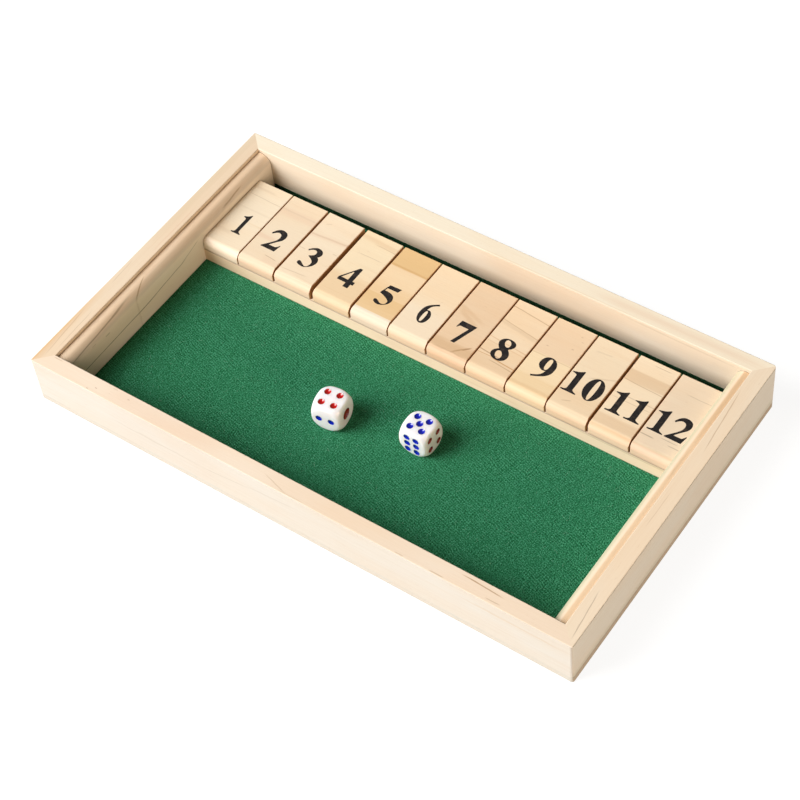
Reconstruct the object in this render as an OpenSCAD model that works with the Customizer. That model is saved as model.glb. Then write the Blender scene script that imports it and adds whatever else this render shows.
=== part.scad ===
// Shut the box: a shallow pine tray with a felt floor, twelve numbered tiles
// that swing up about one steel rod, and two dice.
// Origin: centre of the underside. +X runs from tile 1 to tile 12, +Y runs from
// the player to the tiles, +Z is up. Millimetres.

/* [Frame] */
// Overall depth of the box, front to back
box_w = 200; // [190:1:240]
// Overall height of the box
box_h = 31.5; // [29:0.5:45]
// Thickness of the four mitred rails
rail_t = 10; // [7:0.2:14]
// Radius of the eased long edges at the top of the rails
rail_edge_r = 0.6; // [0.3:0.1:2]
// Radius of the outer upright corners
corner_r = 1.6; // [0.5:0.1:4]
// Radius of the back right corner, which is sanded rounder
back_right_r = 2.8; // [0.5:0.1:6]

/* [Floor] */
// Thickness of the plywood base panel
base_t = 4; // [3:0.2:6]
// Thickness of the felt
felt_t = 0.5; // [0.3:0.1:1.5]
// Free edge left round the felt
felt_edge = 0.2; // [0.1:0.1:1]

/* [Cheeks] */
// Thickness of the two cheeks that line the short sides
cheek_t = 8.2; // [7:0.1:12]
// How far the cheeks stop below the top of the rails
cheek_drop = 2.2; // [1:0.1:4]
// Radius of the rounded inner top edge of the cheeks
cheek_r = 6; // [2:0.1:6.5]

/* [Tiles] */
// Width of one tile, along the rod
tile_w = 24.3; // [20:0.1:28]
// Length of one tile, front to back
tile_l = 54; // [46:0.5:60]
// Thickness of one tile
tile_t = 7.8; // [6.5:0.1:9]
// Radius of the finger edge at the front of a tile
finger_r = 4; // [3:0.1:6.5]
// Radius of the other eased edges of a tile
tile_edge_r = 0.5; // [0.2:0.1:1.2]
// Even gap between neighbouring tiles
tile_gap = 1; // [0.8:0.1:3]
// Space between the tiles and the back rail
back_gap = 11.9; // [10:0.1:18]

/* [Tile ledge] */
// Height of the ledge above the felt
ledge_h = 8.6; // [7:0.1:11]
// Depth of the ledge under the front ends of the tiles
ledge_w = 20; // [12:0.5:30]
// Radius of the eased upper edges of the ledge and of the cheeks beside the rails
strip_edge_r = 0.5; // [0.2:0.1:1]

/* [Hinge rod] */
// Diameter of the steel rod
rod_d = 3; // [2:0.1:4]
// Distance from the back ends of the tiles to the axis of the rod
rod_inset = 5.5; // [4.5:0.1:8]
// Depth to which the rod enters each cheek
rod_seat = 5; // [3:0.1:6.5]
// Chamfer on the ends of the rod
rod_chamfer = 0.4; // [0.2:0.1:0.8]

/* [Dice] */
// Edge length of a die
die_size = 17; // [12:0.1:20]
// Radius of the ball that rounds the corners of a die
die_ball_r = 12; // [11:0.1:14]
// Spacing of the corner pips, also of the pair on the two
pip_pitch = 7.3; // [6:0.1:9]
// Spacing of the two rows of the six
six_rows = 5.6; // [5:0.1:7]
// Spacing of the pips along a row of the six
six_pitch = 4.7; // [4.2:0.1:5.5]
// Diameter of a small pip
pip_d = 3.8; // [2.5:0.1:4.1]
// Diameter of the one large pip
ace_d = 6.6; // [4:0.1:8]
// Depth of a small pip
pip_depth = 0.8; // [0.3:0.1:1.2]
// Depth of the one large pip
ace_depth = 1.3; // [0.5:0.1:2]
// Radius of the rounded edges of a die
die_edge_r = 1; // [0.5:0.1:2.8]
// Place of the left die along the box, from its middle
die_left_x = -21.3; // [-120:0.1:0]
// Place of the left die across the box, from its middle
die_left_y = -31.7; // [-70:0.1:5]
// Place of the right die along the box, from its middle
die_right_x = 28.3; // [10:0.1:120]
// Place of the right die across the box, from its middle
die_right_y = -21.2; // [-70:0.1:5]
// Turn of the left die
die_left_turn = 8; // [-45:1:45]
// Turn of the right die
die_right_turn = 0; // [-45:0.5:45]

/* [Brads] */
// Diameter of a brad's shank
brad_d = 1.2; // [1:0.1:2]
// Length of a brad
brad_l = 14; // [10:0.5:20]
// Diameter of a brad's head
brad_head_d = 2.6; // [2.2:0.1:4]
// Thickness of a brad's head
brad_head_t = 0.6; // [0.4:0.1:1]
// Distance from the end of a rail to its first brad
brad_end = 24; // [15:1:40]

/* [Fits] */
// Radial clearance of the tiles on the rod
bore_fit = 0.08; // [0.02:0.01:0.1]
// Radial clearance of the rod and the brads in the wood that holds them
seat_fit = 0.04; // [0.02:0.01:0.1]
// Clearance under what rests loosely on the ledge or on the felt
rest_gap = 0.1; // [0.05:0.05:0.3]
// End float of the rod in each cheek
rod_float = 0.3; // [0.1:0.1:1]

/* [Hidden] */
$fn = 64;
tile_count = 12;
// Share of half a gap that each tile has slid along the rod, from tile 1 to tile 12
tile_slide = [-0.6, -1.5, -1.2, 1.4, 1.9, 1.4, 1.3, 0.8, 0.4, 0, 0.8, 0.6];

tile_pitch = tile_w + tile_gap;
inner_l = tile_count * tile_pitch;
inner_w = box_w - 2 * rail_t;
box_l = inner_l + 2 * (cheek_t + rail_t);
rail_h = box_h - base_t;
cheek_h = rail_h - cheek_drop;
felt_top = base_t + felt_t;
ledge_top = felt_top + ledge_h;
tile_back = inner_w / 2 - back_gap;
tile_front = tile_back - tile_l;
tile_bottom = ledge_top + rest_gap;
rod_y = tile_back - rod_inset;
rod_z = tile_bottom + tile_t / 2;
rod_r = rod_d / 2;
rod_l = inner_l + 2 * (rod_seat - rod_float);
brads_long = 4;
brads_short = 3;
overrun = 1;

pine = [0.93, 0.83, 0.68];
plywood = [0.78, 0.66, 0.5];
felt_green = [0.12, 0.42, 0.25];
steel = [0.62, 0.62, 0.64];
die_white = [0.96, 0.96, 0.94];

// ---- sections and outlines ------------------------------------------------

// What rounding by r takes off the corner of a square that sits at the origin
module corner_waste(r) {
    difference() {
        translate([-overrun, -overrun]) square(r + overrun);
        translate([r, r]) circle(r);
    }
}

// Rectangle w by h from the origin, with corners rounded by radii in the order
// lower left, lower right, upper right, upper left
module rounded_rectangle(w, h, radii) {
    corners = [[0, 0], [w, 0], [w, h], [0, h]];
    difference() {
        square([w, h]);
        for (i = [0 : 3]) if (radii[i] > 0)
            translate(corners[i]) rotate(90 * i) corner_waste(radii[i]);
    }
}

// Rectangle w by h from the origin with all four corners rounded alike
module eased_rectangle(w, h, r) {
    rounded_rectangle(w, h, [r, r, r, r]);
}

// Plan of the whole box
module box_outline() {
    radii = [corner_r, corner_r, back_right_r, corner_r];
    translate([-box_l / 2, -box_w / 2]) rounded_rectangle(box_l, box_w, radii);
}

// Lays a section out along X: the section's x becomes +Y and its y becomes +Z
module along_x(length) {
    translate([-length / 2, 0, 0]) rotate([90, 0, 90]) linear_extrude(length) children();
}

// ---- frame ----------------------------------------------------------------

// Places of the brads along a rail, measured from its middle
function brad_places(length, count) =
    [for (i = [0 : count - 1]) (length / 2 - brad_end) * (2 * i / (count - 1) - 1)];

// One rail of the frame with its outer face on y = 0, its inner face towards +Y
// and both ends cut at 45 degrees
module mitred_rail(length, brad_count) {
    difference() {
        intersection() {
            translate([0, 0, base_t])
                along_x(length) rounded_rectangle(rail_t, rail_h, [0, 0, rail_edge_r, rail_edge_r]);
            linear_extrude(box_h) polygon([
                [-length / 2, 0], [length / 2, 0],
                [length / 2 - rail_t, rail_t], [-length / 2 + rail_t, rail_t]]);
        }
        for (x = brad_places(length, brad_count)) translate([x, rail_t / 2, 0]) brad_hole();
    }
}

// Puts a rail's outer face on the front, back, left or right side of the box
module on_front() { translate([0, -box_w / 2, 0]) children(); }
module on_back() { rotate(180) on_front() children(); }
module on_right() { rotate(90) translate([0, -box_l / 2, 0]) children(); }
module on_left() { rotate(180) on_right() children(); }

// Rounds the upright corners of whatever reaches them
module ease_corners() {
    intersection() {
        children();
        linear_extrude(box_h) box_outline();
    }
}

module front_rail() { color(pine) ease_corners() on_front() mitred_rail(box_l, brads_long); }
module back_rail() { color(pine) ease_corners() on_back() mitred_rail(box_l, brads_long); }
module left_rail() { color(pine) ease_corners() on_left() mitred_rail(box_w, brads_short); }
module right_rail() { color(pine) ease_corners() on_right() mitred_rail(box_w, brads_short); }

// ---- floor ----------------------------------------------------------------

module base_panel() {
    color(plywood) difference() {
        linear_extrude(base_t) box_outline();
        at_brads() brad_hole();
    }
}

module playing_felt() {
    felt_l = inner_l - 2 * felt_edge;
    felt_w = inner_w - 2 * felt_edge;
    color(felt_green) translate([-felt_l / 2, -felt_w / 2, base_t]) cube([felt_l, felt_w, felt_t]);
}

// One brad driven upwards from the underside, head flush with the base
module brad() {
    cylinder(h = brad_head_t, d = brad_head_d);
    cylinder(h = brad_l, d = brad_d);
}

// The hole that a brad leaves in the base and in a rail
module brad_hole() {
    translate([0, 0, -overrun]) cylinder(h = brad_head_t + overrun + seat_fit, r = brad_head_d / 2 + seat_fit);
    cylinder(h = brad_l + seat_fit, r = brad_d / 2 + seat_fit);
}

// Repeats a shape at every brad
module at_brads() {
    for (x = brad_places(box_l, brads_long)) {
        on_front() translate([x, rail_t / 2, 0]) children();
        on_back() translate([x, rail_t / 2, 0]) children();
    }
    for (x = brad_places(box_w, brads_short)) {
        on_left() translate([x, rail_t / 2, 0]) children();
        on_right() translate([x, rail_t / 2, 0]) children();
    }
}

module base_brads() { color(steel) at_brads() brad(); }

// ---- cheeks, ledge and rod ------------------------------------------------

// The right-hand cheek: flat against the right rail, rounded towards the tray,
// with a blind hole for the end of the rod
module cheek() {
    difference() {
        translate([inner_l / 2, 0, base_t])
            rotate([90, 0, 0]) translate([0, 0, -inner_w / 2]) linear_extrude(inner_w)
                rounded_rectangle(cheek_t, cheek_h, [0, 0, strip_edge_r, cheek_r]);
        translate([inner_l / 2 - overrun, rod_y, rod_z])
            rotate([0, 90, 0]) cylinder(h = rod_seat + overrun, r = rod_r + seat_fit);
    }
}

module right_cheek() { color(pine) cheek(); }
module left_cheek() { color(pine) mirror([1, 0, 0]) cheek(); }

module tile_ledge() {
    color(pine) translate([0, tile_front, felt_top])
        along_x(inner_l) rounded_rectangle(ledge_w, ledge_h, [0, 0, strip_edge_r, strip_edge_r]);
}

module hinge_rod() {
    color(steel) translate([-rod_l / 2, rod_y, rod_z]) rotate([0, 90, 0]) {
        cylinder(h = rod_chamfer, r1 = rod_r - rod_chamfer, r2 = rod_r);
        translate([0, 0, rod_chamfer]) cylinder(h = rod_l - 2 * rod_chamfer, r = rod_r);
        translate([0, 0, rod_l - rod_chamfer])
            cylinder(h = rod_chamfer, r1 = rod_r, r2 = rod_r - rod_chamfer);
    }
}

// ---- tiles ----------------------------------------------------------------

// Side view of a tile: front end at the origin, the finger edge rounded by
// finger_r and the other corners eased
module tile_section() {
    rounded_rectangle(tile_l, tile_t, [tile_edge_r, tile_edge_r, tile_edge_r, finger_r]);
}

// One tile, drilled across near its back end for the rod
module tile(number) {
    slide = tile_slide[number - 1] * tile_gap / 2;
    x = (number - (tile_count + 1) / 2) * tile_pitch + slide;
    color(pine) translate([x, tile_front, tile_bottom]) difference() {
        intersection() {
            along_x(tile_w) tile_section();
            translate([-tile_w / 2, 0, 0]) linear_extrude(tile_t)
                eased_rectangle(tile_w, tile_l, tile_edge_r);
            translate([-tile_w / 2, tile_l, 0]) rotate([90, 0, 0]) linear_extrude(tile_l)
                eased_rectangle(tile_w, tile_t, tile_edge_r);
        }
        translate([-tile_w / 2 - overrun, tile_l - rod_inset, tile_t / 2])
            rotate([0, 90, 0]) cylinder(h = tile_w + 2 * overrun, r = rod_r + bore_fit);
    }
}

// ---- dice -----------------------------------------------------------------

// Radius of the ball that cuts a dimple of diameter d and the given depth
function dimple_r(d, depth) = (d * d / 4 + depth * depth) / (2 * depth);

// Cuts one dimple at a place on the upper face of a die
module dimple(at, d, depth) {
    r = dimple_r(d, depth);
    translate([at[0], at[1], die_size / 2 - depth + r]) sphere(r);
}

corner_pips = [for (x = [-1, 1], y = [-1, 1]) [x, y] * pip_pitch / 2];
six_pips = [for (x = [-1, 1], y = [-1, 0, 1]) [x * six_rows / 2, y * six_pitch]];
pips = [
    [],
    [[0, 0]],
    [[-pip_pitch / 2, 0], [pip_pitch / 2, 0]],
    [corner_pips[0], [0, 0], corner_pips[3]],
    corner_pips,
    concat(corner_pips, [[0, 0]]),
    six_pips];

// Turn that brings the upper face round to the side where a value belongs
face_turn = [
    [0, 0, 0],
    [0, 90, 0],
    [90, 0, 0],
    [180, 0, 0],
    [0, 0, 0],
    [-90, 0, 0],
    [0, -90, 0]];

// Square bar along Z as thick as a die, its long edges rounded
module rounded_bar() {
    translate([-die_size / 2, -die_size / 2, -die_size / 2])
        linear_extrude(die_size) eased_rectangle(die_size, die_size, die_edge_r);
}

// A cube with rounded edges and corners, before the pips are cut
module die_blank() {
    intersection() {
        rounded_bar();
        rotate([90, 0, 0]) rounded_bar();
        rotate([0, 90, 0]) rounded_bar();
        sphere(die_ball_r);
    }
}

// A die about its own centre: 4 above, 3 below, 2 in front, 5 behind, 1 right, 6 left
module die() {
    color(die_white) difference() {
        die_blank();
        for (value = [1 : 6]) rotate(face_turn[value])
            for (at = pips[value])
                if (value == 1) dimple(at, ace_d, ace_depth);
                else dimple(at, pip_d, pip_depth);
    }
}

// Stands a die on the felt at a place, turned about the upright
module on_felt(x, y, turn) {
    translate([x, y, felt_top + rest_gap + die_size / 2]) rotate(turn) children();
}

module die_left() { on_felt(die_left_x, die_left_y, die_left_turn) die(); }
// Rolled so that 5 is above, 6 in front and 4 on the right
module die_right() { on_felt(die_right_x, die_right_y, die_right_turn) rotate([90, 0, 90]) die(); }

// ---- assembly -------------------------------------------------------------

front_rail();
back_rail();
left_rail();
right_rail();
base_panel();
playing_felt();
left_cheek();
right_cheek();
tile_ledge();
hinge_rod();
base_brads();
for (number = [1 : tile_count])
    tile(number);
die_left();
die_right();
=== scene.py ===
"""Looks for a shut the box game: a wooden tray with a felt floor, twelve numbered tiles and two dice."""

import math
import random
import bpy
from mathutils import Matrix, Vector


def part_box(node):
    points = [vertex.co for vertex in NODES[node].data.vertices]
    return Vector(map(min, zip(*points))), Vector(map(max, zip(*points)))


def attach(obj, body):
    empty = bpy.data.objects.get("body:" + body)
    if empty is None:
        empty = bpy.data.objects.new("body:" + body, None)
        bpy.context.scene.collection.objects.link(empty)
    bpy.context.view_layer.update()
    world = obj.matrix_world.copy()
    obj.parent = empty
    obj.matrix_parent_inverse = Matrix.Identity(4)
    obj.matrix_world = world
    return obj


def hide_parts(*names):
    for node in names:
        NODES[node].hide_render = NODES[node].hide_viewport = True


bl_info = {
    "name": "Shut the Box Game",
    "version": (1, 0, 0),
    "blender": (4, 5, 0),
    "location": "3D View > Sidebar > Shut the Box",
    "description": "Dresses the tray, the felt, the tiles, their figures, the rod and the dice",
    "category": "Add Mesh",
}

from typing import NamedTuple

import bmesh
import bpy
from mathutils import Euler, Matrix, Vector, noise

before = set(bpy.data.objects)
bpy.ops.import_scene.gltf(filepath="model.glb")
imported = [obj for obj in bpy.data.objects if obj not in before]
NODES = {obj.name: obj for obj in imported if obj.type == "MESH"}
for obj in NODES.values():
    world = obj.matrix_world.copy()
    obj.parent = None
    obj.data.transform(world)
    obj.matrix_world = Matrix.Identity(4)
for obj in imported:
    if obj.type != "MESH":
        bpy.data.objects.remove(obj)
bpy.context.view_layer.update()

MM = 0.001
TILE_COUNT = 12


def screen(red, green, blue):
    """A colour as a screen shows it, 0 to 255, turned into the linear values that shaders mix."""
    shares = (red / 255, green / 255, blue / 255)
    return tuple(v / 12.92 if v <= 0.04045 else ((v + 0.055) / 1.055) ** 2.4 for v in shares)


def toned(colour, tint):
    """A colour whose red, green and blue are each multiplied by the tint's."""
    return tuple(c * t for c, t in zip(colour, tint))


def number_setting(name, description, value, **more):
    """A number that the user may change in the panel."""
    return bpy.props.FloatProperty(name=name, description=description, default=value, **more)


def length_setting(name, description, metres):
    """A length that the user may change in the panel."""
    return number_setting(name, description, metres, unit="LENGTH", min=0.0, precision=5)


def vector_setting(name, description, values, **more):
    """Three numbers that the user may change in the panel together."""
    return bpy.props.FloatVectorProperty(name=name, description=description, default=values, **more)


def colour_setting(name, description, colour):
    """A colour that the user may change in the panel."""
    return vector_setting(name, description, colour, subtype="COLOR", size=3, min=0.0, max=1.0)


# ---- settings -------------------------------------------------------------


class ShutBoxStageSettings(bpy.types.PropertyGroup):
    camera_place: vector_setting(
        "Camera Place",
        "Where the camera stands",
        (0.45396, -0.53683, 0.87428),
        subtype="TRANSLATION",
        unit="LENGTH",
    )
    camera_turn: vector_setting(
        "Camera Turn",
        "How the camera is turned",
        (math.radians(38.599), math.radians(4.444), math.radians(34.729)),
        subtype="EULER",
        unit="ROTATION",
    )
    lens: number_setting("Lens", "Focal length in millimetres on a 36 mm sensor", 94.15)
    floor_colour: colour_setting("Floor", "Colour of the floor", screen(118, 118, 118))
    floor_glow: number_setting("Floor Glow", "How strongly the lit paper floor lights the game", 0.70)
    floor_seen: number_setting("Floor White", "How brightly the lit paper floor is seen", 0.885)
    floor_reach: length_setting("Floor Reach", "How far the floor reaches each way", 3.0)
    sky_colour: colour_setting("Room Colour", "Colour of the even light", screen(255, 244, 218))
    sky_strength: number_setting("Room Light", "Strength of the even light from all sides", 0.144)
    key_power: number_setting("Key Light", "Power of the large soft light", 256.0, unit="POWER")
    key_width: length_setting("Key Width", "Width of the large soft light", 2.3)
    key_height: length_setting("Key Height", "Height of the large soft light", 3.4)
    key_from: vector_setting(
        "Key Direction", "Where the large soft light stands", (-1.0, -1.0, 1.0), subtype="DIRECTION"
    )
    fill_power: number_setting("Fill Light", "Power of the weak light from the right", 56.0, unit="POWER")
    fill_colour: colour_setting("Fill Colour", "Colour of the weak light", screen(255, 232, 206))
    fill_size: length_setting("Fill Size", "Width of the weak light from the right", 1.2)
    fill_from: vector_setting(
        "Fill Direction", "Where the weak light stands", (0.93, -0.30, 0.20), subtype="DIRECTION"
    )
    light_distance: length_setting("Light Distance", "How far away the two lights stand", 3.6)


class ShutBoxWoodSettings(bpy.types.PropertyGroup):
    pale: colour_setting("Pale Wood", "Colour of the early wood", screen(230, 211, 187))
    late: colour_setting("Late Wood", "Colour of the darker lines", screen(203, 164, 121))
    end_grain: colour_setting("End Grain", "Colour of a sawn end", screen(175, 129, 77))
    ply: colour_setting("Plywood", "Colour of the base panel's edges", screen(199, 195, 184))
    grain_depth: length_setting("Grain Depth", "How far the grain stands out", 0.00004)


class ShutBoxFeltSettings(bpy.types.PropertyGroup):
    green: colour_setting("Felt", "Colour of the felt", screen(38, 116, 77))
    light_fibre: colour_setting("Light Fibre", "Colour of the fibres on top", screen(88, 168, 130))
    dark_fibre: colour_setting("Dark Fibre", "Colour between the fibres", screen(11, 63, 35))
    # Painted shade on the felt's turned edge, which stands in the tiles' shadow
    turned_edge_shade: colour_setting("Shaded Felt Edge", "Colour of the felt's turned edge", screen(12, 27, 7))
    fibre_count: bpy.props.IntProperty(
        name="Loose Fibres", description="Number of long loose fibres", default=420, min=0
    )
    fibre_thickness: length_setting("Fibre Thickness", "Thickness of a loose fibre", 0.00005)
    unevenness: length_setting("Unevenness", "How far the felt rises and dips", 0.00005)
    turn_up: length_setting("Turned Edge", "How far the felt's back edge stands up the rail", 0.0027)


class ShutBoxInkSettings(bpy.types.PropertyGroup):
    charcoal: colour_setting("Ink", "Colour of the printed figures", screen(34, 32, 33))
    thin_ink: colour_setting("Thin Ink", "Colour where the ink lies thin", screen(74, 62, 54))
    thickness: length_setting("Ink Thickness", "Thickness of the printed layer", 0.00004)


class ShutBoxDiceSettings(bpy.types.PropertyGroup):
    plastic: colour_setting("Plastic", "Colour of the dice", screen(252, 244, 251))
    red: colour_setting("Red Paint", "Colour of the pips of the one and the four", screen(190, 10, 12))
    blue: colour_setting("Blue Paint", "Colour of the other pips", screen(4, 26, 178))
    paint_thickness: length_setting("Paint Thickness", "Thickness of the paint", 0.00005)


# ---- shader building blocks -----------------------------------------------


def put(tree, kind, **settings):
    """Adds a node and sets its plain properties."""
    made = tree.nodes.new(kind)
    for name, value in settings.items():
        setattr(made, name, value)
    return made


def feed(tree, made, socket, value):
    """Wires another node's output into an input, or sets the input to a plain value."""
    if isinstance(value, bpy.types.NodeSocket):
        tree.links.new(value, made.inputs[socket])
    elif isinstance(made.inputs[socket], bpy.types.NodeSocketColor):
        made.inputs[socket].default_value = (*value[:3], 1.0)
    else:
        made.inputs[socket].default_value = value


def maths(tree, operation, *values):
    """A Math node's result."""
    made = put(tree, "ShaderNodeMath", operation=operation)
    for place, value in enumerate(values):
        feed(tree, made, place, value)
    return made.outputs[0]


def times(tree, first, second):
    """One number times another."""
    return maths(tree, "MULTIPLY", first, second)


def swing(tree, share, reach):
    """A number from 0 to 1 turned into a swing to both sides."""
    return times(tree, maths(tree, "SUBTRACT", share, 0.5), reach)


def vector_maths(tree, operation, *values, answer="Vector"):
    """A Vector Math node's result."""
    made = put(tree, "ShaderNodeVectorMath", operation=operation)
    for place, value in enumerate(values):
        feed(tree, made, place, value)
    return made.outputs[answer]


def in_mm(tree, vector):
    """A place in millimetres instead of metres."""
    made = put(tree, "ShaderNodeVectorMath", operation="SCALE")
    feed(tree, made, "Vector", vector)
    feed(tree, made, "Scale", 1 / MM)
    return made.outputs["Vector"]


def stretched_noise(tree, vector, stretch, detail=2.0, roughness=0.5):
    """Noise drawn out by different amounts along each direction."""
    made = put(tree, "ShaderNodeTexNoise", noise_dimensions="3D")
    feed(tree, made, "Vector", vector_maths(tree, "MULTIPLY", vector, stretch))
    feed(tree, made, "Scale", 1.0)
    feed(tree, made, "Detail", detail)
    feed(tree, made, "Roughness", roughness)
    return made.outputs["Fac"]


def fade(tree, value, start, end, at_start=0.0, at_end=1.0):
    """Goes smoothly from one value to another while the input passes from start to end."""
    made = put(tree, "ShaderNodeMapRange", interpolation_type="SMOOTHSTEP")
    feed(tree, made, "Value", value)
    feed(tree, made, "From Min", start)
    feed(tree, made, "From Max", end)
    feed(tree, made, "To Min", at_start)
    feed(tree, made, "To Max", at_end)
    return made.outputs["Result"]


def mixed(tree, share, first, second, way="MIX"):
    """Two colours mixed."""
    made = put(tree, "ShaderNodeMix", data_type="RGBA", blend_type=way)
    feed(tree, made, 0, share)
    feed(tree, made, 6, first)
    feed(tree, made, 7, second)
    return made.outputs[2]


def tinted(tree, colour, tint):
    """A colour multiplied by a plain tint."""
    return mixed(tree, 1.0, colour, tint, "MULTIPLY")


def parts(tree, vector):
    """The three coordinates of a vector."""
    made = put(tree, "ShaderNodeSeparateXYZ")
    feed(tree, made, 0, vector)
    return made.outputs["X"], made.outputs["Y"], made.outputs["Z"]


def joined(tree, x, y, z):
    """A vector from three coordinates."""
    made = put(tree, "ShaderNodeCombineXYZ")
    for place, value in enumerate((x, y, z)):
        feed(tree, made, place, value)
    return made.outputs[0]


def titled(label):
    """A socket's name, from a label in small letters with underscores."""
    return label.replace("_", " ").title()


def start_group(name, answers, **inputs):
    """Starts a shader node group; returns its tree, the sockets given to it, and its output node."""
    tree = bpy.data.node_groups.new(name, "ShaderNodeTree")
    for label, default in inputs.items():
        kind = "NodeSocketVector" if isinstance(default, tuple) else "NodeSocketFloat"
        socket = tree.interface.new_socket(titled(label), in_out="INPUT", socket_type=kind)
        socket.default_value = default
    for label in answers:
        tree.interface.new_socket(label, in_out="OUTPUT", socket_type="NodeSocketFloat")
    return tree, tree.nodes.new("NodeGroupInput").outputs, tree.nodes.new("NodeGroupOutput")


def use_group(tree, name, **values):
    """Places a shader node group in a tree and sets its inputs."""
    made = put(tree, "ShaderNodeGroup", node_tree=bpy.data.node_groups[name])
    for label, value in values.items():
        feed(tree, made, titled(label), value)
    return made.outputs


def make_grain_group():
    """Growth rings, fibres, flecks and slow changes of tone, with the grain along X."""
    tree, given, result = start_group(
        "wood_grain",
        ["Rings", "Fibre", "Flecks", "Tone"],
        vector=(0, 0, 0),
        seed=0.0,
        ring_width=3.0,
        pith=(0, 0, 0),
        drift=6.0,
    )
    place = in_mm(tree, given["Vector"])
    shift = vector_maths(tree, "MULTIPLY", given["Seed"], (97.0, 31.0, 13.0))
    board = vector_maths(tree, "ADD", place, shift)
    wander = swing(tree, stretched_noise(tree, board, (0.009, 0.06, 0.06)), given["Drift"])
    across = vector_maths(tree, "SUBTRACT", place, given["Pith"])
    across = vector_maths(tree, "MULTIPLY", across, (0.0, 1.0, 1.0))
    radius = maths(tree, "ADD", vector_maths(tree, "LENGTH", across, answer="Value"), wander)
    count = maths(tree, "DIVIDE", radius, given["Ring Width"])
    within = maths(tree, "FRACT", count)
    rise = maths(tree, "POWER", within, 3.5)
    fall = fade(tree, within, 0.93, 1.0, 1.0, 0.0)
    chance = put(tree, "ShaderNodeTexWhiteNoise", noise_dimensions="1D")
    feed(tree, chance, "W", maths(tree, "ADD", maths(tree, "FLOOR", count), given["Seed"]))
    strength = fade(tree, chance.outputs["Value"], 0.0, 1.0, 0.25, 1.0)
    feed(tree, result, "Rings", times(tree, times(tree, rise, fall), strength))
    feed(tree, result, "Fibre", stretched_noise(tree, board, (0.05, 2.2, 2.2), 3.0, 0.6))
    specks = stretched_noise(tree, board, (0.30, 2.6, 2.6), 1.0)
    feed(tree, result, "Flecks", fade(tree, specks, 0.70, 0.80))
    feed(tree, result, "Tone", stretched_noise(tree, board, (0.014, 0.055, 0.055), 3.0))


def make_mark_group():
    """One soft line, band or smudge across a board, placed in millimetres."""
    tree, given, result = start_group(
        "wood_mark",
        ["Mask"],
        vector=(0, 0, 0),
        across=0.0,
        along=0.0,
        half_width=1.0,
        reach=100.0,
        slant=0.0,
        softness=0.8,
        waviness=0.6,
    )
    place = in_mm(tree, given["Vector"])
    x, y, _ = parts(tree, place)
    along = maths(tree, "SUBTRACT", x, given["Along"])
    wave = swing(tree, stretched_noise(tree, place, (0.10, 0.35, 0.35)), given["Waviness"])
    middle = maths(tree, "MULTIPLY_ADD", along, given["Slant"], given["Across"])
    off = maths(tree, "ABSOLUTE", maths(tree, "ADD", maths(tree, "SUBTRACT", y, middle), wave))
    sharp = times(tree, given["Half Width"], maths(tree, "SUBTRACT", 1.0, given["Softness"]))
    beside = fade(tree, off, sharp, given["Half Width"], 1.0, 0.0)
    inner = times(tree, given["Reach"], 0.5)
    ends = fade(tree, maths(tree, "ABSOLUTE", along), inner, given["Reach"], 1.0, 0.0)
    feed(tree, result, "Mask", times(tree, beside, ends))


def make_dark_band_group():
    """A dark band around one place, used for the lines where pieces meet and for painted shade at a foot.
    """
    tree, given, result = start_group("dark_band", ["Mask"], place=0.0, at=0.0, half_width=0.2)
    off = maths(tree, "ABSOLUTE", maths(tree, "SUBTRACT", given["Place"], given["At"]))
    feed(tree, result, "Mask", fade(tree, off, 0.0, given["Half Width"], 1.0, 0.0))


# Ribs of the felt, in radians of a wave for each millimetre, and how much they show
RIB_TURNS = 4.6
RIB_SHARE = 0.6


def make_fibre_group():
    """One layer of fine fibres lying in one direction."""
    tree, given, result = start_group("fibre_layer", ["Mask"], vector=(0, 0, 0), turn=0.0, seed=0.0)
    place = in_mm(tree, given["Vector"])
    turned_place = put(tree, "ShaderNodeVectorRotate", rotation_type="Z_AXIS")
    feed(tree, turned_place, "Vector", place)
    feed(tree, turned_place, "Angle", given["Turn"])
    bend = stretched_noise(tree, place, (0.12, 0.12, 0.12), 1.0)
    x, y, _ = parts(tree, turned_place.outputs[0])
    y = maths(tree, "MULTIPLY_ADD", bend, 3.0, y)
    layer = joined(tree, x, y, times(tree, given["Seed"], 7.3))
    loose = stretched_noise(tree, layer, (1.2, 3.4, 1.0), 0.0)
    wander = stretched_noise(tree, layer, (0.25, 0.9, 1.0), 1.0)
    turns = maths(tree, "MULTIPLY_ADD", wander, 5.0, times(tree, y, RIB_TURNS))
    ribs = maths(tree, "MULTIPLY_ADD", maths(tree, "SINE", turns), 0.5, 0.5)
    patch = fade(tree, stretched_noise(tree, place, (0.04, 0.04, 0.04), 1.0), 0.38, 0.62, 0.35, 1.0)
    laid = swing(tree, ribs, times(tree, patch, RIB_SHARE))
    feed(tree, result, "Mask", maths(tree, "ADD", fade(tree, loose, 0.34, 0.66), laid))


def make_mottle_group():
    """Cloudy unevenness at a size in millimetres."""
    tree, given, result = start_group("mottle", ["Mask"], vector=(0, 0, 0), size=1.0, contrast=1.0)
    made = put(tree, "ShaderNodeTexNoise", noise_dimensions="3D")
    feed(tree, made, "Vector", in_mm(tree, given["Vector"]))
    feed(tree, made, "Scale", maths(tree, "DIVIDE", 1.0, given["Size"]))
    feed(tree, made, "Detail", 3.0)
    centred = maths(tree, "SUBTRACT", made.outputs["Fac"], 0.5)
    spread = maths(tree, "MULTIPLY_ADD", centred, given["Contrast"], 0.5)
    feed(tree, result, "Mask", maths(tree, "MINIMUM", maths(tree, "MAXIMUM", spread, 0.0), 1.0))


def mottled(tree, place, size, contrast):
    """A mask of cloudy unevenness."""
    return use_group(tree, "mottle", vector=place, size=size, contrast=contrast)["Mask"]


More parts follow.
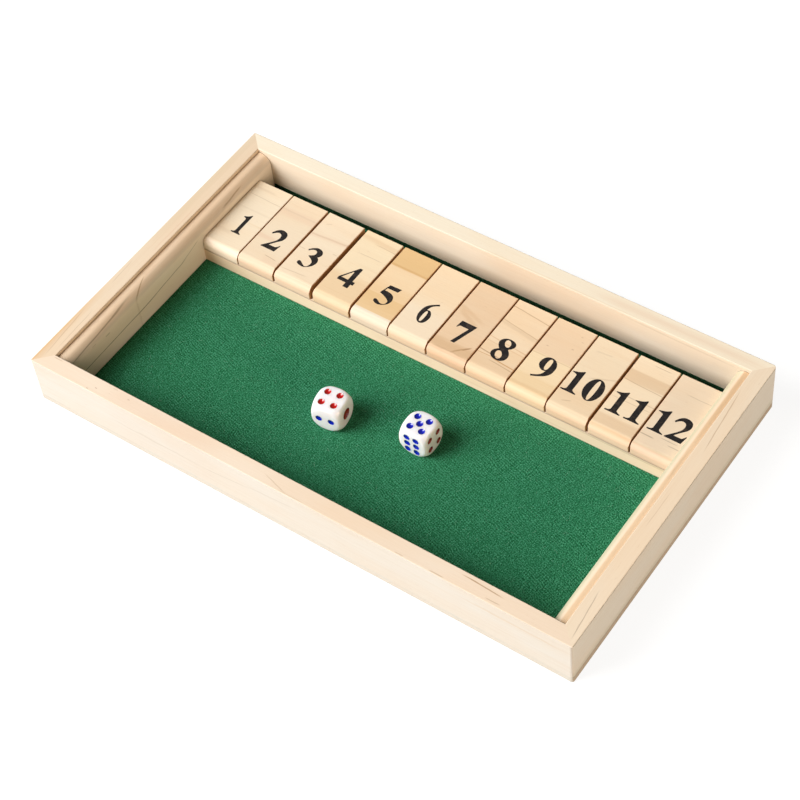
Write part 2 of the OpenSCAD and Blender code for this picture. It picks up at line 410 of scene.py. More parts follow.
def start_material(name):
    """Starts a material; returns it, its tree, its shader and the coordinates of its surface."""
    made = bpy.data.materials.new(name)
    made.use_nodes = True
    tree = made.node_tree
    shader = tree.nodes["Principled BSDF"]
    return made, tree, shader, put(tree, "ShaderNodeTexCoord").outputs


def add_bump(tree, shader, height, distance, strength=1.0):
    """Raises the surface where the height is large."""
    bump = put(tree, "ShaderNodeBump")
    feed(tree, bump, "Height", height)
    feed(tree, bump, "Distance", distance)
    feed(tree, bump, "Strength", strength)
    feed(tree, shader, "Normal", bump.outputs["Normal"])


def dress(name, material):
    """Gives a frame piece its finish."""
    NODES[name].data.materials.clear()
    NODES[name].data.materials.append(material)


# ---- wood -----------------------------------------------------------------


class Mark(NamedTuple):
    """A line or band in the wood: its middle across and along the board, how far it reaches
    along from there, all in millimetres, and how strongly it shows.

    An upright mark is placed by the board's height instead of its width.
    """

    across: float
    half_width: float
    colour: tuple
    strength: float
    along: float = 0.0
    reach: float = 400.0
    slant: float = 0.0
    softness: float = 0.8
    waviness: float = 0.6
    upright: bool = False


class Board(NamedTuple):
    """How one board is cut and toned. The origin is a point of the board, in millimetres.

    The side tint is painted light and shade that comes in on faces that stand upright. The side turn
    says between which shares of the upright a face changes over, and the edge tone is painted shade
    that darkens the rounded edges in between. A gap is a dark line where the board meets another
    piece, some of them painted shade where it sits on or under one: what it is measured along, where it
    lies, its half width in millimetres, and how strongly it shows.
    """

    seed: float
    origin: tuple = (0.0, 0.0, 0.0)
    grain: str = "X"
    tint: tuple = (1.0, 1.0, 1.0)
    side_tint: tuple = (1.0, 1.0, 1.0)
    side_turn: tuple = (0.96, 0.74)
    edge_shade: float = 0.90
    ring_width: float = 3.0
    ring_strength: float = 0.10
    blush: tuple = (1.0, 0.965, 0.93)
    pith: tuple = (0.0, -30.0, -45.0)
    drift: float = 6.0
    marks: tuple = ()
    gaps_and_shade: tuple = ()


MARK_INPUTS = ("across", "along", "half_width", "reach", "slant", "softness", "waviness")
# How strongly the fibres, the flecks and the sawn ends show in all boards
HAIR_SHARE = 0.09
FLECK_SHARE = 0.16
SAWN_SHARE = 0.85

BROWN = screen(162, 125, 84)
GREY = screen(181, 157, 129)
PINK = screen(220, 184, 157)
ORANGE = screen(214, 168, 112)
HONEY = screen(218, 181, 127)
KNOT = screen(138, 92, 56)
CREAM = screen(233, 221, 201)
OLIVE = screen(190, 175, 138)
TAN = screen(205, 168, 127)
AMBER = screen(190, 136, 77)
SMOKE = screen(127, 108, 86)
DARK = screen(103, 81, 49)
# Colour of the dark lines at joints and of the painted shade at a foot
DARK_GAP_AND_SHADE = screen(64, 40, 23)


def grown(tree, grain, board, looks):
    """The wood as it grew: pale, with darker rings, fibres and flecks."""
    pale = toned(looks.pale, board.tint)
    late = toned(looks.late, board.tint)
    colour = mixed(tree, fade(tree, grain["Tone"], 0.38, 0.62), pale, toned(pale, board.blush))
    colour = mixed(tree, times(tree, grain["Rings"], board.ring_strength), colour, late)
    colour = mixed(tree, fade(tree, grain["Fibre"], 0.40, 0.70, 0.0, HAIR_SHARE), colour, late)
    return mixed(tree, times(tree, grain["Flecks"], FLECK_SHARE), colour, KNOT)


def marked(tree, place, board, colour):
    """The board's own lines and bands, laid one over another."""
    along, across, up = parts(tree, place)
    standing = joined(tree, along, up, across)
    for mark in board.marks:
        spread = use_group(
            tree,
            "wood_mark",
            vector=standing if mark.upright else place,
            **{label: getattr(mark, label) for label in MARK_INPUTS},
        )
        colour = mixed(tree, times(tree, spread["Mask"], mark.strength), colour, mark.colour)
    return colour


def cut(tree, ways, flat, end_tone, board, colour):
    """Painted light and shade on the standing sides, painted shade on the rounded edges, and the tone of
    the sawn ends.
    """
    # Painted light and shade: upright faces take the board's side tint
    upright = fade(tree, flat, *board.side_turn)
    colour = mixed(tree, upright, colour, tinted(tree, colour, board.side_tint))
    # Painted shade that tones down the light caught by the rounded edges
    edge = times(tree, fade(tree, flat, 0.98, 0.85), fade(tree, flat, 0.08, 0.35))
    colour = mixed(tree, edge, colour, tinted(tree, colour, (board.edge_shade,) * 3))
    facing = maths(tree, "ABSOLUTE", ways[0 if board.grain == "X" else 1])
    return mixed(tree, times(tree, fade(tree, facing, 0.55, 0.95), SAWN_SHARE), colour, end_tone)


def gapped_and_shaded(tree, place, flat, board, colour):
    """The dark lines where the board meets other pieces, and painted shade at a height, which shows on
    standing faces only.
    """
    x, y, z = parts(tree, in_mm(tree, place))
    measured = {"height": z, "side": maths(tree, "ABSOLUTE", x), "end": maths(tree, "ABSOLUTE", y)}
    for kind, at, half_width, strength in board.gaps_and_shade:
        gap = use_group(tree, "dark_band", place=measured[kind], at=at, half_width=half_width)
        share = times(tree, gap["Mask"], strength)
        # Painted shade at a foot darkens standing faces only
        if kind == "height":
            share = times(tree, share, fade(tree, flat, 0.90, 0.99, 1.0, 0.0))
        colour = mixed(tree, share, colour, DARK_GAP_AND_SHADE)
    return colour


def wood(name, board, looks):
    """A wood finish for one board."""
    made, tree, shader, where = start_material(name)
    turn = 0.0 if board.grain == "X" else -math.pi / 2
    lay = put(tree, "ShaderNodeMapping", vector_type="POINT")
    feed(tree, lay, "Vector", where["Object"])
    feed(tree, lay, "Location", -(Matrix.Rotation(turn, 3, "Z") @ (Vector(board.origin) * MM)))
    feed(tree, lay, "Rotation", (0.0, 0.0, turn))
    place = lay.outputs["Vector"]
    grain = use_group(
        tree,
        "wood_grain",
        vector=place,
        seed=board.seed,
        ring_width=board.ring_width,
        pith=board.pith,
        drift=board.drift,
    )
    colour = marked(tree, place, board, grown(tree, grain, board, looks))
    ways = parts(tree, where["Normal"])
    flat = maths(tree, "ABSOLUTE", ways[2])
    end_tone = mixed(tree, grain["Rings"], looks.end_grain, KNOT)
    colour = cut(tree, ways, flat, end_tone, board, colour)
    feed(tree, shader, "Base Color", gapped_and_shaded(tree, where["Object"], flat, board, colour))
    feed(tree, shader, "Roughness", fade(tree, grain["Fibre"], 0.3, 0.7, 0.50, 0.64))
    feed(tree, shader, "Specular IOR Level", 0.35)
    ridge = maths(tree, "ADD", grain["Fibre"], times(tree, grain["Rings"], 0.5))
    add_bump(tree, shader, ridge, looks.grain_depth)
    return made


BASE_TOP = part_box("front_rail")[0].z / MM
CHEEK_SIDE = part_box("right_cheek")[1].x / MM
CHEEK_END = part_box("right_cheek")[1].y / MM
CHEEK_GAPS = (("side", CHEEK_SIDE, 0.45, 0.85), ("end", CHEEK_END, 0.6, 0.75))

# On each board the tint of the upright faces is painted light and shade, and the tone of the rounded
# edges painted shade
RAILS = {
    "front_rail": Board(
        seed=1.3,
        origin=(0, -100, 31.5),
        tint=(1.03, 1.05, 1.11),
        side_tint=(0.75, 0.82, 0.89),
        pith=(0, -18, -60),
        marks=(
            Mark(5.0, 9.0, PINK, 0.22, along=-82, reach=45, softness=1.0),
            Mark(5.0, 9.0, ORANGE, 0.12, along=35, reach=60, softness=1.0),
            Mark(1.2, 0.35, KNOT, 0.45, along=-130.8, reach=0.9),
            Mark(3.7, 0.35, KNOT, 0.45, along=-126.6, reach=0.9),
            Mark(6.5, 0.40, KNOT, 0.35, along=-106.6, reach=0.9),
            Mark(8.5, 0.50, GREY, 0.40, along=-157, reach=3.5),
            Mark(8.4, 0.40, GREY, 0.40, along=-117, reach=2.0),
            Mark(3.4, 0.40, GREY, 0.45, along=-8, reach=9, slant=-0.28),
            Mark(1.0, 0.35, GREY, 0.35, along=4, reach=9),
            Mark(6.9, 0.50, BROWN, 0.70, along=116, reach=13, slant=-0.05),
            Mark(7.4, 0.40, BROWN, 0.40, along=108, reach=6),
            Mark(2.2, 0.40, GREY, 0.60, along=124, reach=5),
            Mark(1.1, 0.40, GREY, 0.50, along=70, reach=3),
            Mark(1.0, 0.45, GREY, 0.60, along=92, reach=5),
            Mark(-15.4, 0.7, GREY, 0.26, along=-86, reach=36, waviness=3.0, upright=True),
            Mark(-13.8, 0.6, GREY, 0.30, along=-40, reach=18, slant=0.12, upright=True),
            Mark(-9.6, 0.8, GREY, 0.20, along=-10, reach=18, slant=0.09, upright=True),
            Mark(-7.3, 1.0, ORANGE, 0.28, along=136, reach=36, waviness=1.2, upright=True),
        ),
    ),
    "back_rail": Board(
        seed=4.7,
        origin=(0, 100, 31.5),
        tint=(1.10, 1.21, 1.29),
        side_tint=(0.83, 0.79, 0.78),
        pith=(0, 20, -70),
        ring_strength=0.05,
        marks=(
            Mark(-5.0, 4.0, PINK, 0.28, along=115, reach=60, softness=1.0),
            Mark(-9.4, 1.4, ORANGE, 0.16, along=40, reach=60),
            Mark(-2.4, 0.9, GREY, 0.22, along=120, reach=40, slant=-0.015, upright=True),
        ),
    ),
    "left_rail": Board(
        seed=7.9,
        origin=(-170, 0, 31.5),
        tint=(0.965, 0.96, 0.95),
        grain="Y",
        pith=(0, 30, -60),
        marks=(
            Mark(0.0, 5.5, ORANGE, 0.45, along=-100, reach=75, softness=1.0),
            Mark(-2.0, 4.0, OLIVE, 0.14, along=55, reach=60, softness=1.0),
            Mark(-3.3, 0.40, BROWN, 0.32, along=-75, reach=21, slant=0.07),
            Mark(-1.0, 0.50, ORANGE, 0.45, along=-85, reach=25),
            Mark(-7.0, 0.35, GREY, 0.40, along=-70, reach=17, slant=0.03),
            Mark(-2.5, 0.35, GREY, 0.40, along=-25, reach=11, slant=0.04),
            Mark(-7.4, 0.50, PINK, 0.50, along=15, reach=22),
        ),
    ),
    "right_rail": Board(
        seed=11.2,
        origin=(170, 0, 31.5),
        tint=(1.03, 1.04, 1.045),
        side_tint=(0.82, 0.89, 0.96),
        grain="Y",
        pith=(0, -25, -70),
        marks=(
            Mark(4.5, 0.40, SMOKE, 0.45, along=-81, reach=17, slant=0.10),
            Mark(6.2, 0.35, BROWN, 0.22, along=-10, reach=14),
            Mark(6.6, 0.40, BROWN, 0.45, along=54, reach=25, slant=0.078),
            Mark(-26.5, 3.6, OLIVE, 0.35, waviness=1.5, upright=True),
            Mark(-27.4, 0.6, SMOKE, 0.60, along=-66, reach=60, upright=True),
        ),
    ),
}

# On each cheek the tint of the upright faces is painted light and shade, and the tone of the rounded
# edges painted shade
CHEEKS = {
    "left_cheek": Board(
        seed=14.5,
        origin=(-151.8, 0, 29.3),
        tint=(1.06, 1.0, 0.945),
        side_tint=(0.93, 1.04, 1.19),
        edge_shade=0.87,
        side_turn=(0.85, 0.35),
        grain="Y",
        ring_width=5.0,
        pith=(0, 35, -30),
        drift=9.0,
        marks=(
            # Painted shade over the inner face, olive with the felt's green light
            Mark(-17.5, 15.0, OLIVE, 0.12, softness=0.5, upright=True),
            Mark(-2.3, 0.50, DARK, 0.50, along=-64, reach=33, slant=0.05, upright=True),
            Mark(-15.2, 0.50, DARK, 0.70, along=-57, reach=44, slant=0.03, upright=True),
            Mark(-12.7, 0.50, DARK, 0.60, along=-12, reach=24, slant=0.10, upright=True),
            Mark(-9.0, 0.45, DARK, 0.45, along=12, reach=11, slant=0.29, upright=True),
            Mark(-7.4, 0.45, DARK, 0.55, along=-59, reach=2.2, upright=True),
            Mark(-5.5, 0.50, DARK, 0.25, along=-70, reach=2.0, upright=True),
            Mark(2.4, 0.45, BROWN, 0.60, along=-27, reach=8, slant=0.35),
            Mark(1.2, 0.45, BROWN, 0.50, along=55, reach=11, slant=0.06),
        ),
        gaps_and_shade=CHEEK_GAPS,
    ),
    "right_cheek": Board(
        seed=17.1,
        origin=(151.8, 0, 29.3),
        tint=(1.07, 1.05, 1.04),
        side_tint=(0.73, 0.84, 0.79),
        edge_shade=0.95,
        grain="Y",
        ring_width=4.0,
        pith=(0, -35, -40),
        marks=(
            Mark(-6.6, 2.6, ORANGE, 0.45, softness=0.5),
            Mark(-6.4, 2.4, TAN, 0.45, along=85, reach=55, softness=0.6),
            Mark(-5.8, 0.6, BROWN, 0.18, along=20, reach=12, waviness=1.5),
            Mark(-8.1, 0.7, AMBER, 0.50),
        ),
        gaps_and_shade=CHEEK_GAPS[1:],
    ),
}

LEDGE = Board(
    seed=20.3,
    origin=(0, 24.1, 13.1),
    tint=(1.06, 1.00, 0.95),
    gaps_and_shade=(
        # Painted shade under the tile fronts along the ledge's top edge, and the dark line where the
        # ledge meets the felt
        ("height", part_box("tile_ledge")[1].z / MM, 0.9, 0.6),
        ("height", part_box("playing_felt")[1].z / MM, 0.5, 0.6),
    ),
    pith=(0, -30, -50),
    marks=(
        Mark(-1.2, 0.7, OLIVE, 0.60, along=125, reach=40, upright=True),
        Mark(-4.6, 1.0, TAN, 0.22, along=40, reach=22, upright=True),
        Mark(-6.2, 0.8, TAN, 0.20, along=85, reach=20, upright=True),
        Mark(-4.0, 5.0, PINK, 0.30, along=-15, reach=24, softness=1.0, upright=True),
    ),
)

# Painted shade on the tiles' standing sides and on the tops of their rounded finger edges
TILE_SIDE_SHADE = (0.96, 0.84, 0.81)
# What all tiles have in common: painted shade that turns over sooner on their rounded edges, so they look
# crisper than the other boards, and painted shade at the foot
TILE_PAINTED_SHADE = {
    "side_turn": (0.99, 0.90),
    "edge_shade": 0.97,
    "gaps_and_shade": (("height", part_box("tile_1")[0].z / MM, 2.0, 0.24),),
}
# The origin of each tile's marks is the middle of its back edge.
TILES = {
    1: Board(
        seed=30.1,
        tint=(1.06, 1.10, 1.10),
        # Painted light on tile 1's standing sides, which lie in the left cheek's shadow
        side_tint=(1.12, 1.25, 1.35),
        marks=(
            Mark(-5.0, 1.6, GREY, 0.18, along=-5, reach=11, softness=1.0),
            Mark(-11.0, 0.40, GREY, 0.42, reach=16, slant=-0.03),
            Mark(-21.5, 0.9, GREY, 0.12, reach=16),
            Mark(-30.5, 0.9, HONEY, 0.16, along=6, reach=9),
            Mark(-41.5, 2.2, GREY, 0.15, along=-8, reach=9),
        ),
    ),
    2: Board(
        seed=33.6,
        tint=(1.01, 1.02, 1.00),
        marks=(
            Mark(-12.0, 4.5, PINK, 0.28, softness=0.7),
            Mark(-11.0, 0.9, GREY, 0.16, reach=20),
            Mark(-34.0, 2.6, PINK, 0.40, along=-8, reach=10),
            Mark(-45.6, 0.40, GREY, 0.70, along=5, reach=5, slant=-0.10),
            Mark(-48.0, 3.0, PINK, 0.20, along=8, reach=9),
        ),
    ),
    3: Board(
        seed=36.2,
        tint=(1.04, 1.06, 1.05),
        marks=(
            Mark(-17.3, 0.9, BROWN, 0.26, reach=22, slant=0.07),
            Mark(-17.6, 2.4, PINK, 0.25, reach=22, slant=0.07),
            Mark(-30.0, 0.45, GREY, 0.35, along=-10, reach=3),
            Mark(-25.4, 0.50, GREY, 0.35, along=9.5, reach=2),
            Mark(-47.3, 0.45, GREY, 0.42, along=-3, reach=10, slant=0.06),
            Mark(-8.0, 0.50, GREY, 0.35, along=-7, reach=2, slant=0.5),
        ),
    ),
    4: Board(
        seed=39.8,
        tint=(1.05, 1.05, 0.96),
        marks=(
            Mark(-5.4, 2.4, AMBER, 0.22, along=2, reach=26, slant=-0.05),
            Mark(-7.5, 0.45, BROWN, 0.34, along=6, reach=9, slant=-0.03),
            Mark(-16.8, 0.40, GREY, 0.40, along=1, reach=10),
            Mark(-43.0, 13.0, ORANGE, 0.34, softness=0.5),
        ),
    ),
    5: Board(
        seed=42.4,
        tint=(1.05, 0.97, 0.82),
        marks=(
            Mark(-6.0, 9.2, HONEY, 0.85, softness=0.12),
            Mark(-13.8, 1.1, AMBER, 0.30),
            Mark(-36.0, 12.0, HONEY, 0.30),
            Mark(-42.5, 6.6, HONEY, 0.55, softness=0.10),
            # Painted highlight along the rounded finger edge
            Mark(-52.2, 3.3, CREAM, 0.90, softness=0.10),
        ),
    ),
    6: Board(
        seed=45.9,
        tint=(1.06, 1.03, 0.95),
        marks=(Mark(-43.0, 15.0, CREAM, 0.45, softness=0.5),),
    ),
    7: Board(
        seed=48.3,
        tint=(0.97, 0.88, 0.78),
        marks=(
            Mark(-21.5, 2.0, TAN, 0.35, along=-6, reach=14, slant=-0.35),
            Mark(-26.0, 2.6, TAN, 0.40, along=-3, reach=10, slant=-0.5),
            Mark(-47.5, 5.5, TAN, 0.66, waviness=3.0),
            Mark(-46.3, 1.0, BROWN, 0.60, along=5.5, reach=5, slant=0.9),
            Mark(-44.5, 0.55, KNOT, 0.60, along=8, reach=2.2, slant=1.0),
            Mark(-50.2, 0.8, KNOT, 0.22, reach=12, waviness=3.0),
        ),
    ),
    8: Board(
        seed=51.7,
        tint=(1.05, 1.00, 0.91),
        marks=(
            Mark(-6.9, 0.45, BROWN, 0.55, slant=-0.11),
            Mark(-19.4, 1.8, GREY, 0.22, slant=-0.16),
            Mark(-18.0, 0.45, BROWN, 0.40, slant=-0.16),
            Mark(-30.6, 0.55, AMBER, 0.35, slant=-0.09),
            Mark(-33.2, 0.45, AMBER, 0.25, slant=-0.05),
            Mark(-46.0, 7.0, TAN, 0.34, softness=0.7),
            Mark(-36.5, 6.0, ORANGE, 0.20, softness=0.7),
            Mark(-40.2, 0.50, KNOT, 0.55, along=-6, reach=10, slant=-0.10),
            Mark(-41.9, 0.40, AMBER, 0.60, along=-8, reach=6),
            Mark(-43.1, 0.45, AMBER, 0.80, along=5, reach=10, slant=-0.10),
            Mark(-44.9, 0.45, BROWN, 0.50, along=5, reach=10, slant=-0.10),
        ),
    ),
    9: Board(
        seed=54.2,
        tint=(1.08, 1.07, 0.95),
        marks=(
            Mark(-13.5, 13.6, PINK, 0.42, softness=0.12),
            Mark(-26.9, 0.55, BROWN, 0.25, reach=26),
            Mark(-49.8, 2.2, AMBER, 0.22, softness=0.7),
            Mark(-46.5, 6.0, HONEY, 0.30, softness=0.5),
            Mark(-6.0, 0.40, KNOT, 0.30, along=6, reach=0.8),
            Mark(-9.0, 0.35, KNOT, 0.25, along=8, reach=0.8),
            Mark(-15.7, 0.40, KNOT, 0.35, along=6, reach=0.9),
            Mark(-20.0, 0.40, KNOT, 0.35, along=-7, reach=0.8),
        ),
    ),
    10: Board(
        seed=57.6,
        tint=(1.04, 1.03, 0.97),
        marks=(
            Mark(-24.7, 0.9, BROWN, 0.20, along=5.5, reach=9, slant=0.42),
            Mark(-9.5, 0.7, GREY, 0.22, along=-3, reach=6, slant=0.1),
            Mark(-46.5, 0.55, GREY, 0.50, along=-4, reach=3, slant=0.4),
            Mark(-45.0, 10.0, ORANGE, 0.18, softness=0.6),
        ),
    ),
    11: Board(
        seed=60.9,
        tint=(1.08, 1.07, 1.01),
        marks=(
            Mark(-14.2, 4.6, TAN, 0.44, softness=0.3),
            Mark(-18.6, 0.40, BROWN, 0.45, slant=-0.05),
            Mark(-28.0, 0.50, GREY, 0.45, reach=20),
            Mark(-31.2, 0.45, GREY, 0.35, reach=15),
            Mark(-47.0, 4.6, TAN, 0.38, softness=0.5),
            Mark(-2.9, 0.35, GREY, 0.60, along=3, reach=6),
            Mark(-51.8, 1.8, ORANGE, 0.40),
        ),
    ),
    12: Board(
        seed=63.5,
        tint=(1.03, 1.01, 0.98),
        marks=(
            Mark(-11.0, 0.40, GREY, 0.45, along=4, reach=9),
            Mark(-42.4, 0.40, SMOKE, 0.35, along=4, reach=6),
            Mark(-44.6, 0.50, SMOKE, 0.50, along=-8, reach=5),
            Mark(-45.0, 0.45, SMOKE, 0.40, along=8, reach=4),
            Mark(-51.5, 1.6, OLIVE, 0.40, waviness=1.5),
        ),
    ),
}


# Heights of the dark lines in the plywood's edges in millimetres, and how strongly they show
PLY_LINES = ((0.97, 0.18), (2.93, 0.18), (BASE_TOP - 0.15, 0.35))
# Painted shade on the right edge, which faces away from the key light
PLY_RIGHT_SHADE = (0.78, 0.67, 0.54)


def plywood(looks):
    """Three layers at the edges of the base panel and a peeled veneer below, with painted shade on the
    right edge.
    """
    made, tree, shader, where = start_material("plywood")
    place = where["Object"]
    grain = use_group(
        tree, "wood_grain", vector=place, seed=70.0, ring_width=9.0, pith=(0, 12, -40), drift=55.0
    )
    z = parts(tree, in_mm(tree, place))[2]
    core = times(tree, fade(tree, z, 0.9, 1.05), fade(tree, z, 2.85, 3.0, 1.0, 0.0))
    face = mixed(tree, times(tree, grain["Rings"], 0.35), looks.ply, AMBER)
    face = mixed(tree, fade(tree, grain["Fibre"], 0.4, 0.7, 0.0, 0.12), face, KNOT)
    speckle = mottled(tree, place, 0.5, 3.0)
    ends = mixed(tree, times(tree, speckle, 0.22), looks.ply, AMBER)
    colour = mixed(tree, core, face, ends)
    blot = mottled(tree, place, 9.0, 2.5)
    colour = mixed(tree, times(tree, blot, 0.14), colour, PINK)
    # Painted shade on the right edge
    right = fade(tree, parts(tree, where["Normal"])[0], 0.5, 0.9)
    colour = mixed(tree, right, colour, tinted(tree, colour, PLY_RIGHT_SHADE))
    # Painted light: the lines show at a quarter of their strength, and fully only on the shaded right
    # edge
    for height, strength in PLY_LINES:
        gap = use_group(tree, "dark_band", place=z, at=height, half_width=0.22)
        share = times(tree, gap["Mask"], fade(tree, right, 0.0, 1.0, 0.25, 1.0))
        colour = mixed(tree, times(tree, share, strength), colour, DARK)
    feed(tree, shader, "Base Color", colour)
    feed(tree, shader, "Roughness", fade(tree, grain["Fibre"], 0.3, 0.7, 0.62, 0.74))
    add_bump(tree, shader, maths(tree, "ADD", grain["Fibre"], speckle), looks.grain_depth)
    return made


def steel(name, along, seed):
    """Drawn steel wire with faint lines along its length."""
    made, tree, shader, where = start_material(name)
    stretch = tuple(0.15 if axis == along else 6.0 for axis in range(3))
    place = vector_maths(tree, "ADD", in_mm(tree, where["Object"]), (seed, seed, seed))
    drawn = stretched_noise(tree, place, stretch, 3.0)
    colour = mixed(tree, drawn, screen(112, 110, 108), screen(158, 156, 152))
    feed(tree, shader, "Base Color", colour)
    feed(tree, shader, "Metallic", 1.0)
    feed(tree, shader, "Roughness", fade(tree, drawn, 0.3, 0.7, 0.36, 0.55))
    add_bump(tree, shader, drawn, 0.00001)
    return made


def dress_boards(boards, looks):
    """Gives each frame piece in a table its own board."""
    for name, board in boards.items():
        dress(name, wood(name + "_pine", board, looks))


class SHUTBOX_OT_rails(bpy.types.Operator):
    """Gives the four mitred rails their pine, each from its own board"""

    bl_idname = "shutbox.rails"
    bl_label = "Rails"

    def execute(self, context):
        dress_boards(RAILS, context.scene.shutbox_wood)
        return {"FINISHED"}


class SHUTBOX_OT_base_panel(bpy.types.Operator):
    """Gives the base panel its plywood"""

    bl_idname = "shutbox.base_panel"
    bl_label = "Base Panel"

    def execute(self, context):
        dress("base_panel", plywood(context.scene.shutbox_wood))
        return {"FINISHED"}


class SHUTBOX_OT_cheeks(bpy.types.Operator):
    """Gives the two rounded cheeks their pine"""

    bl_idname = "shutbox.cheeks"
    bl_label = "Cheeks"

    def execute(self, context):
        dress_boards(CHEEKS, context.scene.shutbox_wood)
        return {"FINISHED"}


class SHUTBOX_OT_ledge(bpy.types.Operator):
    """Gives the ledge under the tiles its pine"""

    bl_idname = "shutbox.ledge"
    bl_label = "Tile Ledge"

    def execute(self, context):
        dress("tile_ledge", wood("ledge_pine", LEDGE, context.scene.shutbox_wood))
        return {"FINISHED"}


class SHUTBOX_OT_tiles(bpy.types.Operator):
    """Gives the twelve flip tiles their pine, each with its own bands and tone"""

    bl_idname = "shutbox.tiles"
    bl_label = "Tiles"

    def execute(self, context):
        for number, board in TILES.items():
            name = f"tile_{number}"
            low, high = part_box(name)
            back = ((low.x + high.x) / 2 / MM, high.y / MM, high.z / MM)
            # Each tile gets painted light and shade on its sides, edges and foot
            tile = board._replace(origin=back, side_tint=toned(TILE_SIDE_SHADE, board.side_tint), **TILE_PAINTED_SHADE)
            dress(name, wood(name + "_pine", tile, context.scene.shutbox_wood))
        return {"FINISHED"}


class SHUTBOX_OT_steelwork(bpy.types.Operator):
    """Gives the hinge rod and the brads their drawn steel"""

    bl_idname = "shutbox.steelwork"
    bl_label = "Rod and Brads"

    def execute(self, context):
        dress("hinge_rod", steel("rod_steel", 0, 3.0))
        dress("base_brads", steel("brad_steel", 2, 8.0))
        return {"FINISHED"}


# ---- felt -----------------------------------------------------------------


def placed(name, data):
    """Puts an object in the scene."""
    made = bpy.data.objects.new(name, data)
    bpy.context.scene.collection.objects.link(made)
    return made


def evaluated_mesh(made):
    """The mesh that an object has after its curve or its modifiers are worked out."""
    bpy.context.view_layer.update()
    return bpy.data.meshes.new_from_object(made.evaluated_get(bpy.context.evaluated_depsgraph_get()))


def mesh_from_curve(curve, name):
    """Turns a curve into a clean mesh."""
    holder = placed(name + "_curve", curve)
    mesh = evaluated_mesh(holder)
    bpy.data.objects.remove(holder)
    bpy.data.curves.remove(curve)
    mesh.name = name
    return mesh


def finished(solid, name):
    """Turns a bmesh into a mesh and frees it."""
    mesh = bpy.data.meshes.new(name)
    solid.to_mesh(mesh)
    solid.free()
    return mesh


def show(name, mesh, material):
    """Puts a finished mesh in the scene."""
    mesh.materials.clear()
    mesh.materials.append(material)
    return placed(name, mesh)


# Turn of each layer of fibres, and its share of the pattern
FIBRE_LAYERS = ((0.31, 0.42), (-1.40, 0.26))
FINE_SHARE = 0.32
# Inner radius of the bend where the felt turns up
BEND_RADIUS = 0.0009
# Spacing of the felt's mesh along the box and towards the back
LONG_STEP = 0.0025
SHORT_STEP = 0.001
# Size of the dips in the felt, and size and depth of the frays at its edge
DIP_SIZE = 0.006
FRAY_SIZE = 0.0015
FRAY_DEPTH = 0.00012
# Shortest and longest loose fibre, the most it bends, and the bare margins at the walls and the ledge
FIBRE_LENGTHS = (0.0008, 0.0035)
FIBRE_BEND = 1.2
WALL_MARGIN = 0.010
LEDGE_MARGIN = 0.008
# Number of short fibres at the ledge, their lengths, how far off they stand and the most they lean
FUZZ_COUNT = 420
FUZZ_LENGTHS = (0.0003, 0.0011)
FUZZ_PLACES = (0.00015, 0.0007)
FUZZ_LEAN = 0.8


def felt_finish(looks):
    """Pressed wool felt: fibres crossing in several directions over a mottled ground, with painted shade
    on its turned edge.
    """
    made, tree, shader, where = start_material("felt")
    place = where["Object"]
    broad = mottled(tree, place, 14.0, 2.0)
    fine = mottled(tree, place, 0.34, 3.0)
    height = times(tree, fine, FINE_SHARE)
    for seed, (turn, share) in enumerate(FIBRE_LAYERS):
        layer = use_group(tree, "fibre_layer", vector=place, turn=turn, seed=float(seed))
        height = maths(tree, "MULTIPLY_ADD", layer["Mask"], share, height)
    colour = mixed(tree, fade(tree, height, 0.10, 0.50), looks.dark_fibre, looks.green)
    colour = mixed(tree, fade(tree, height, 0.50, 0.90), colour, looks.light_fibre)
    colour = mixed(tree, times(tree, broad, 0.10), colour, looks.green)
    # Painted shade on the turned edge up the back rail
    rise = maths(tree, "DIVIDE", parts(tree, place)[2], MM)
    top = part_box("playing_felt")[1].z / MM
    colour = mixed(tree, fade(tree, rise, top + 0.1, top + 0.9, 0.0, 0.85), colour, looks.turned_edge_shade)
    feed(tree, shader, "Base Color", colour)
    feed(tree, shader, "Roughness", fade(tree, fine, 0.0, 1.0, 0.82, 0.95))
    feed(tree, shader, "Specular IOR Level", 0.08)
    add_bump(tree, shader, height, 0.00030, 0.8)
    return made


def loose_fibre_finish(name, colour, other):
    """A single wool fibre, a little paler than the felt."""
    made, tree, shader, where = start_material(name)
    change = mottled(tree, where["Object"], 2.0, 3.0)
    feed(tree, shader, "Base Color", mixed(tree, change, colour, other))
    feed(tree, shader, "Roughness", fade(tree, change, 0.0, 1.0, 0.75, 0.9))
    return made


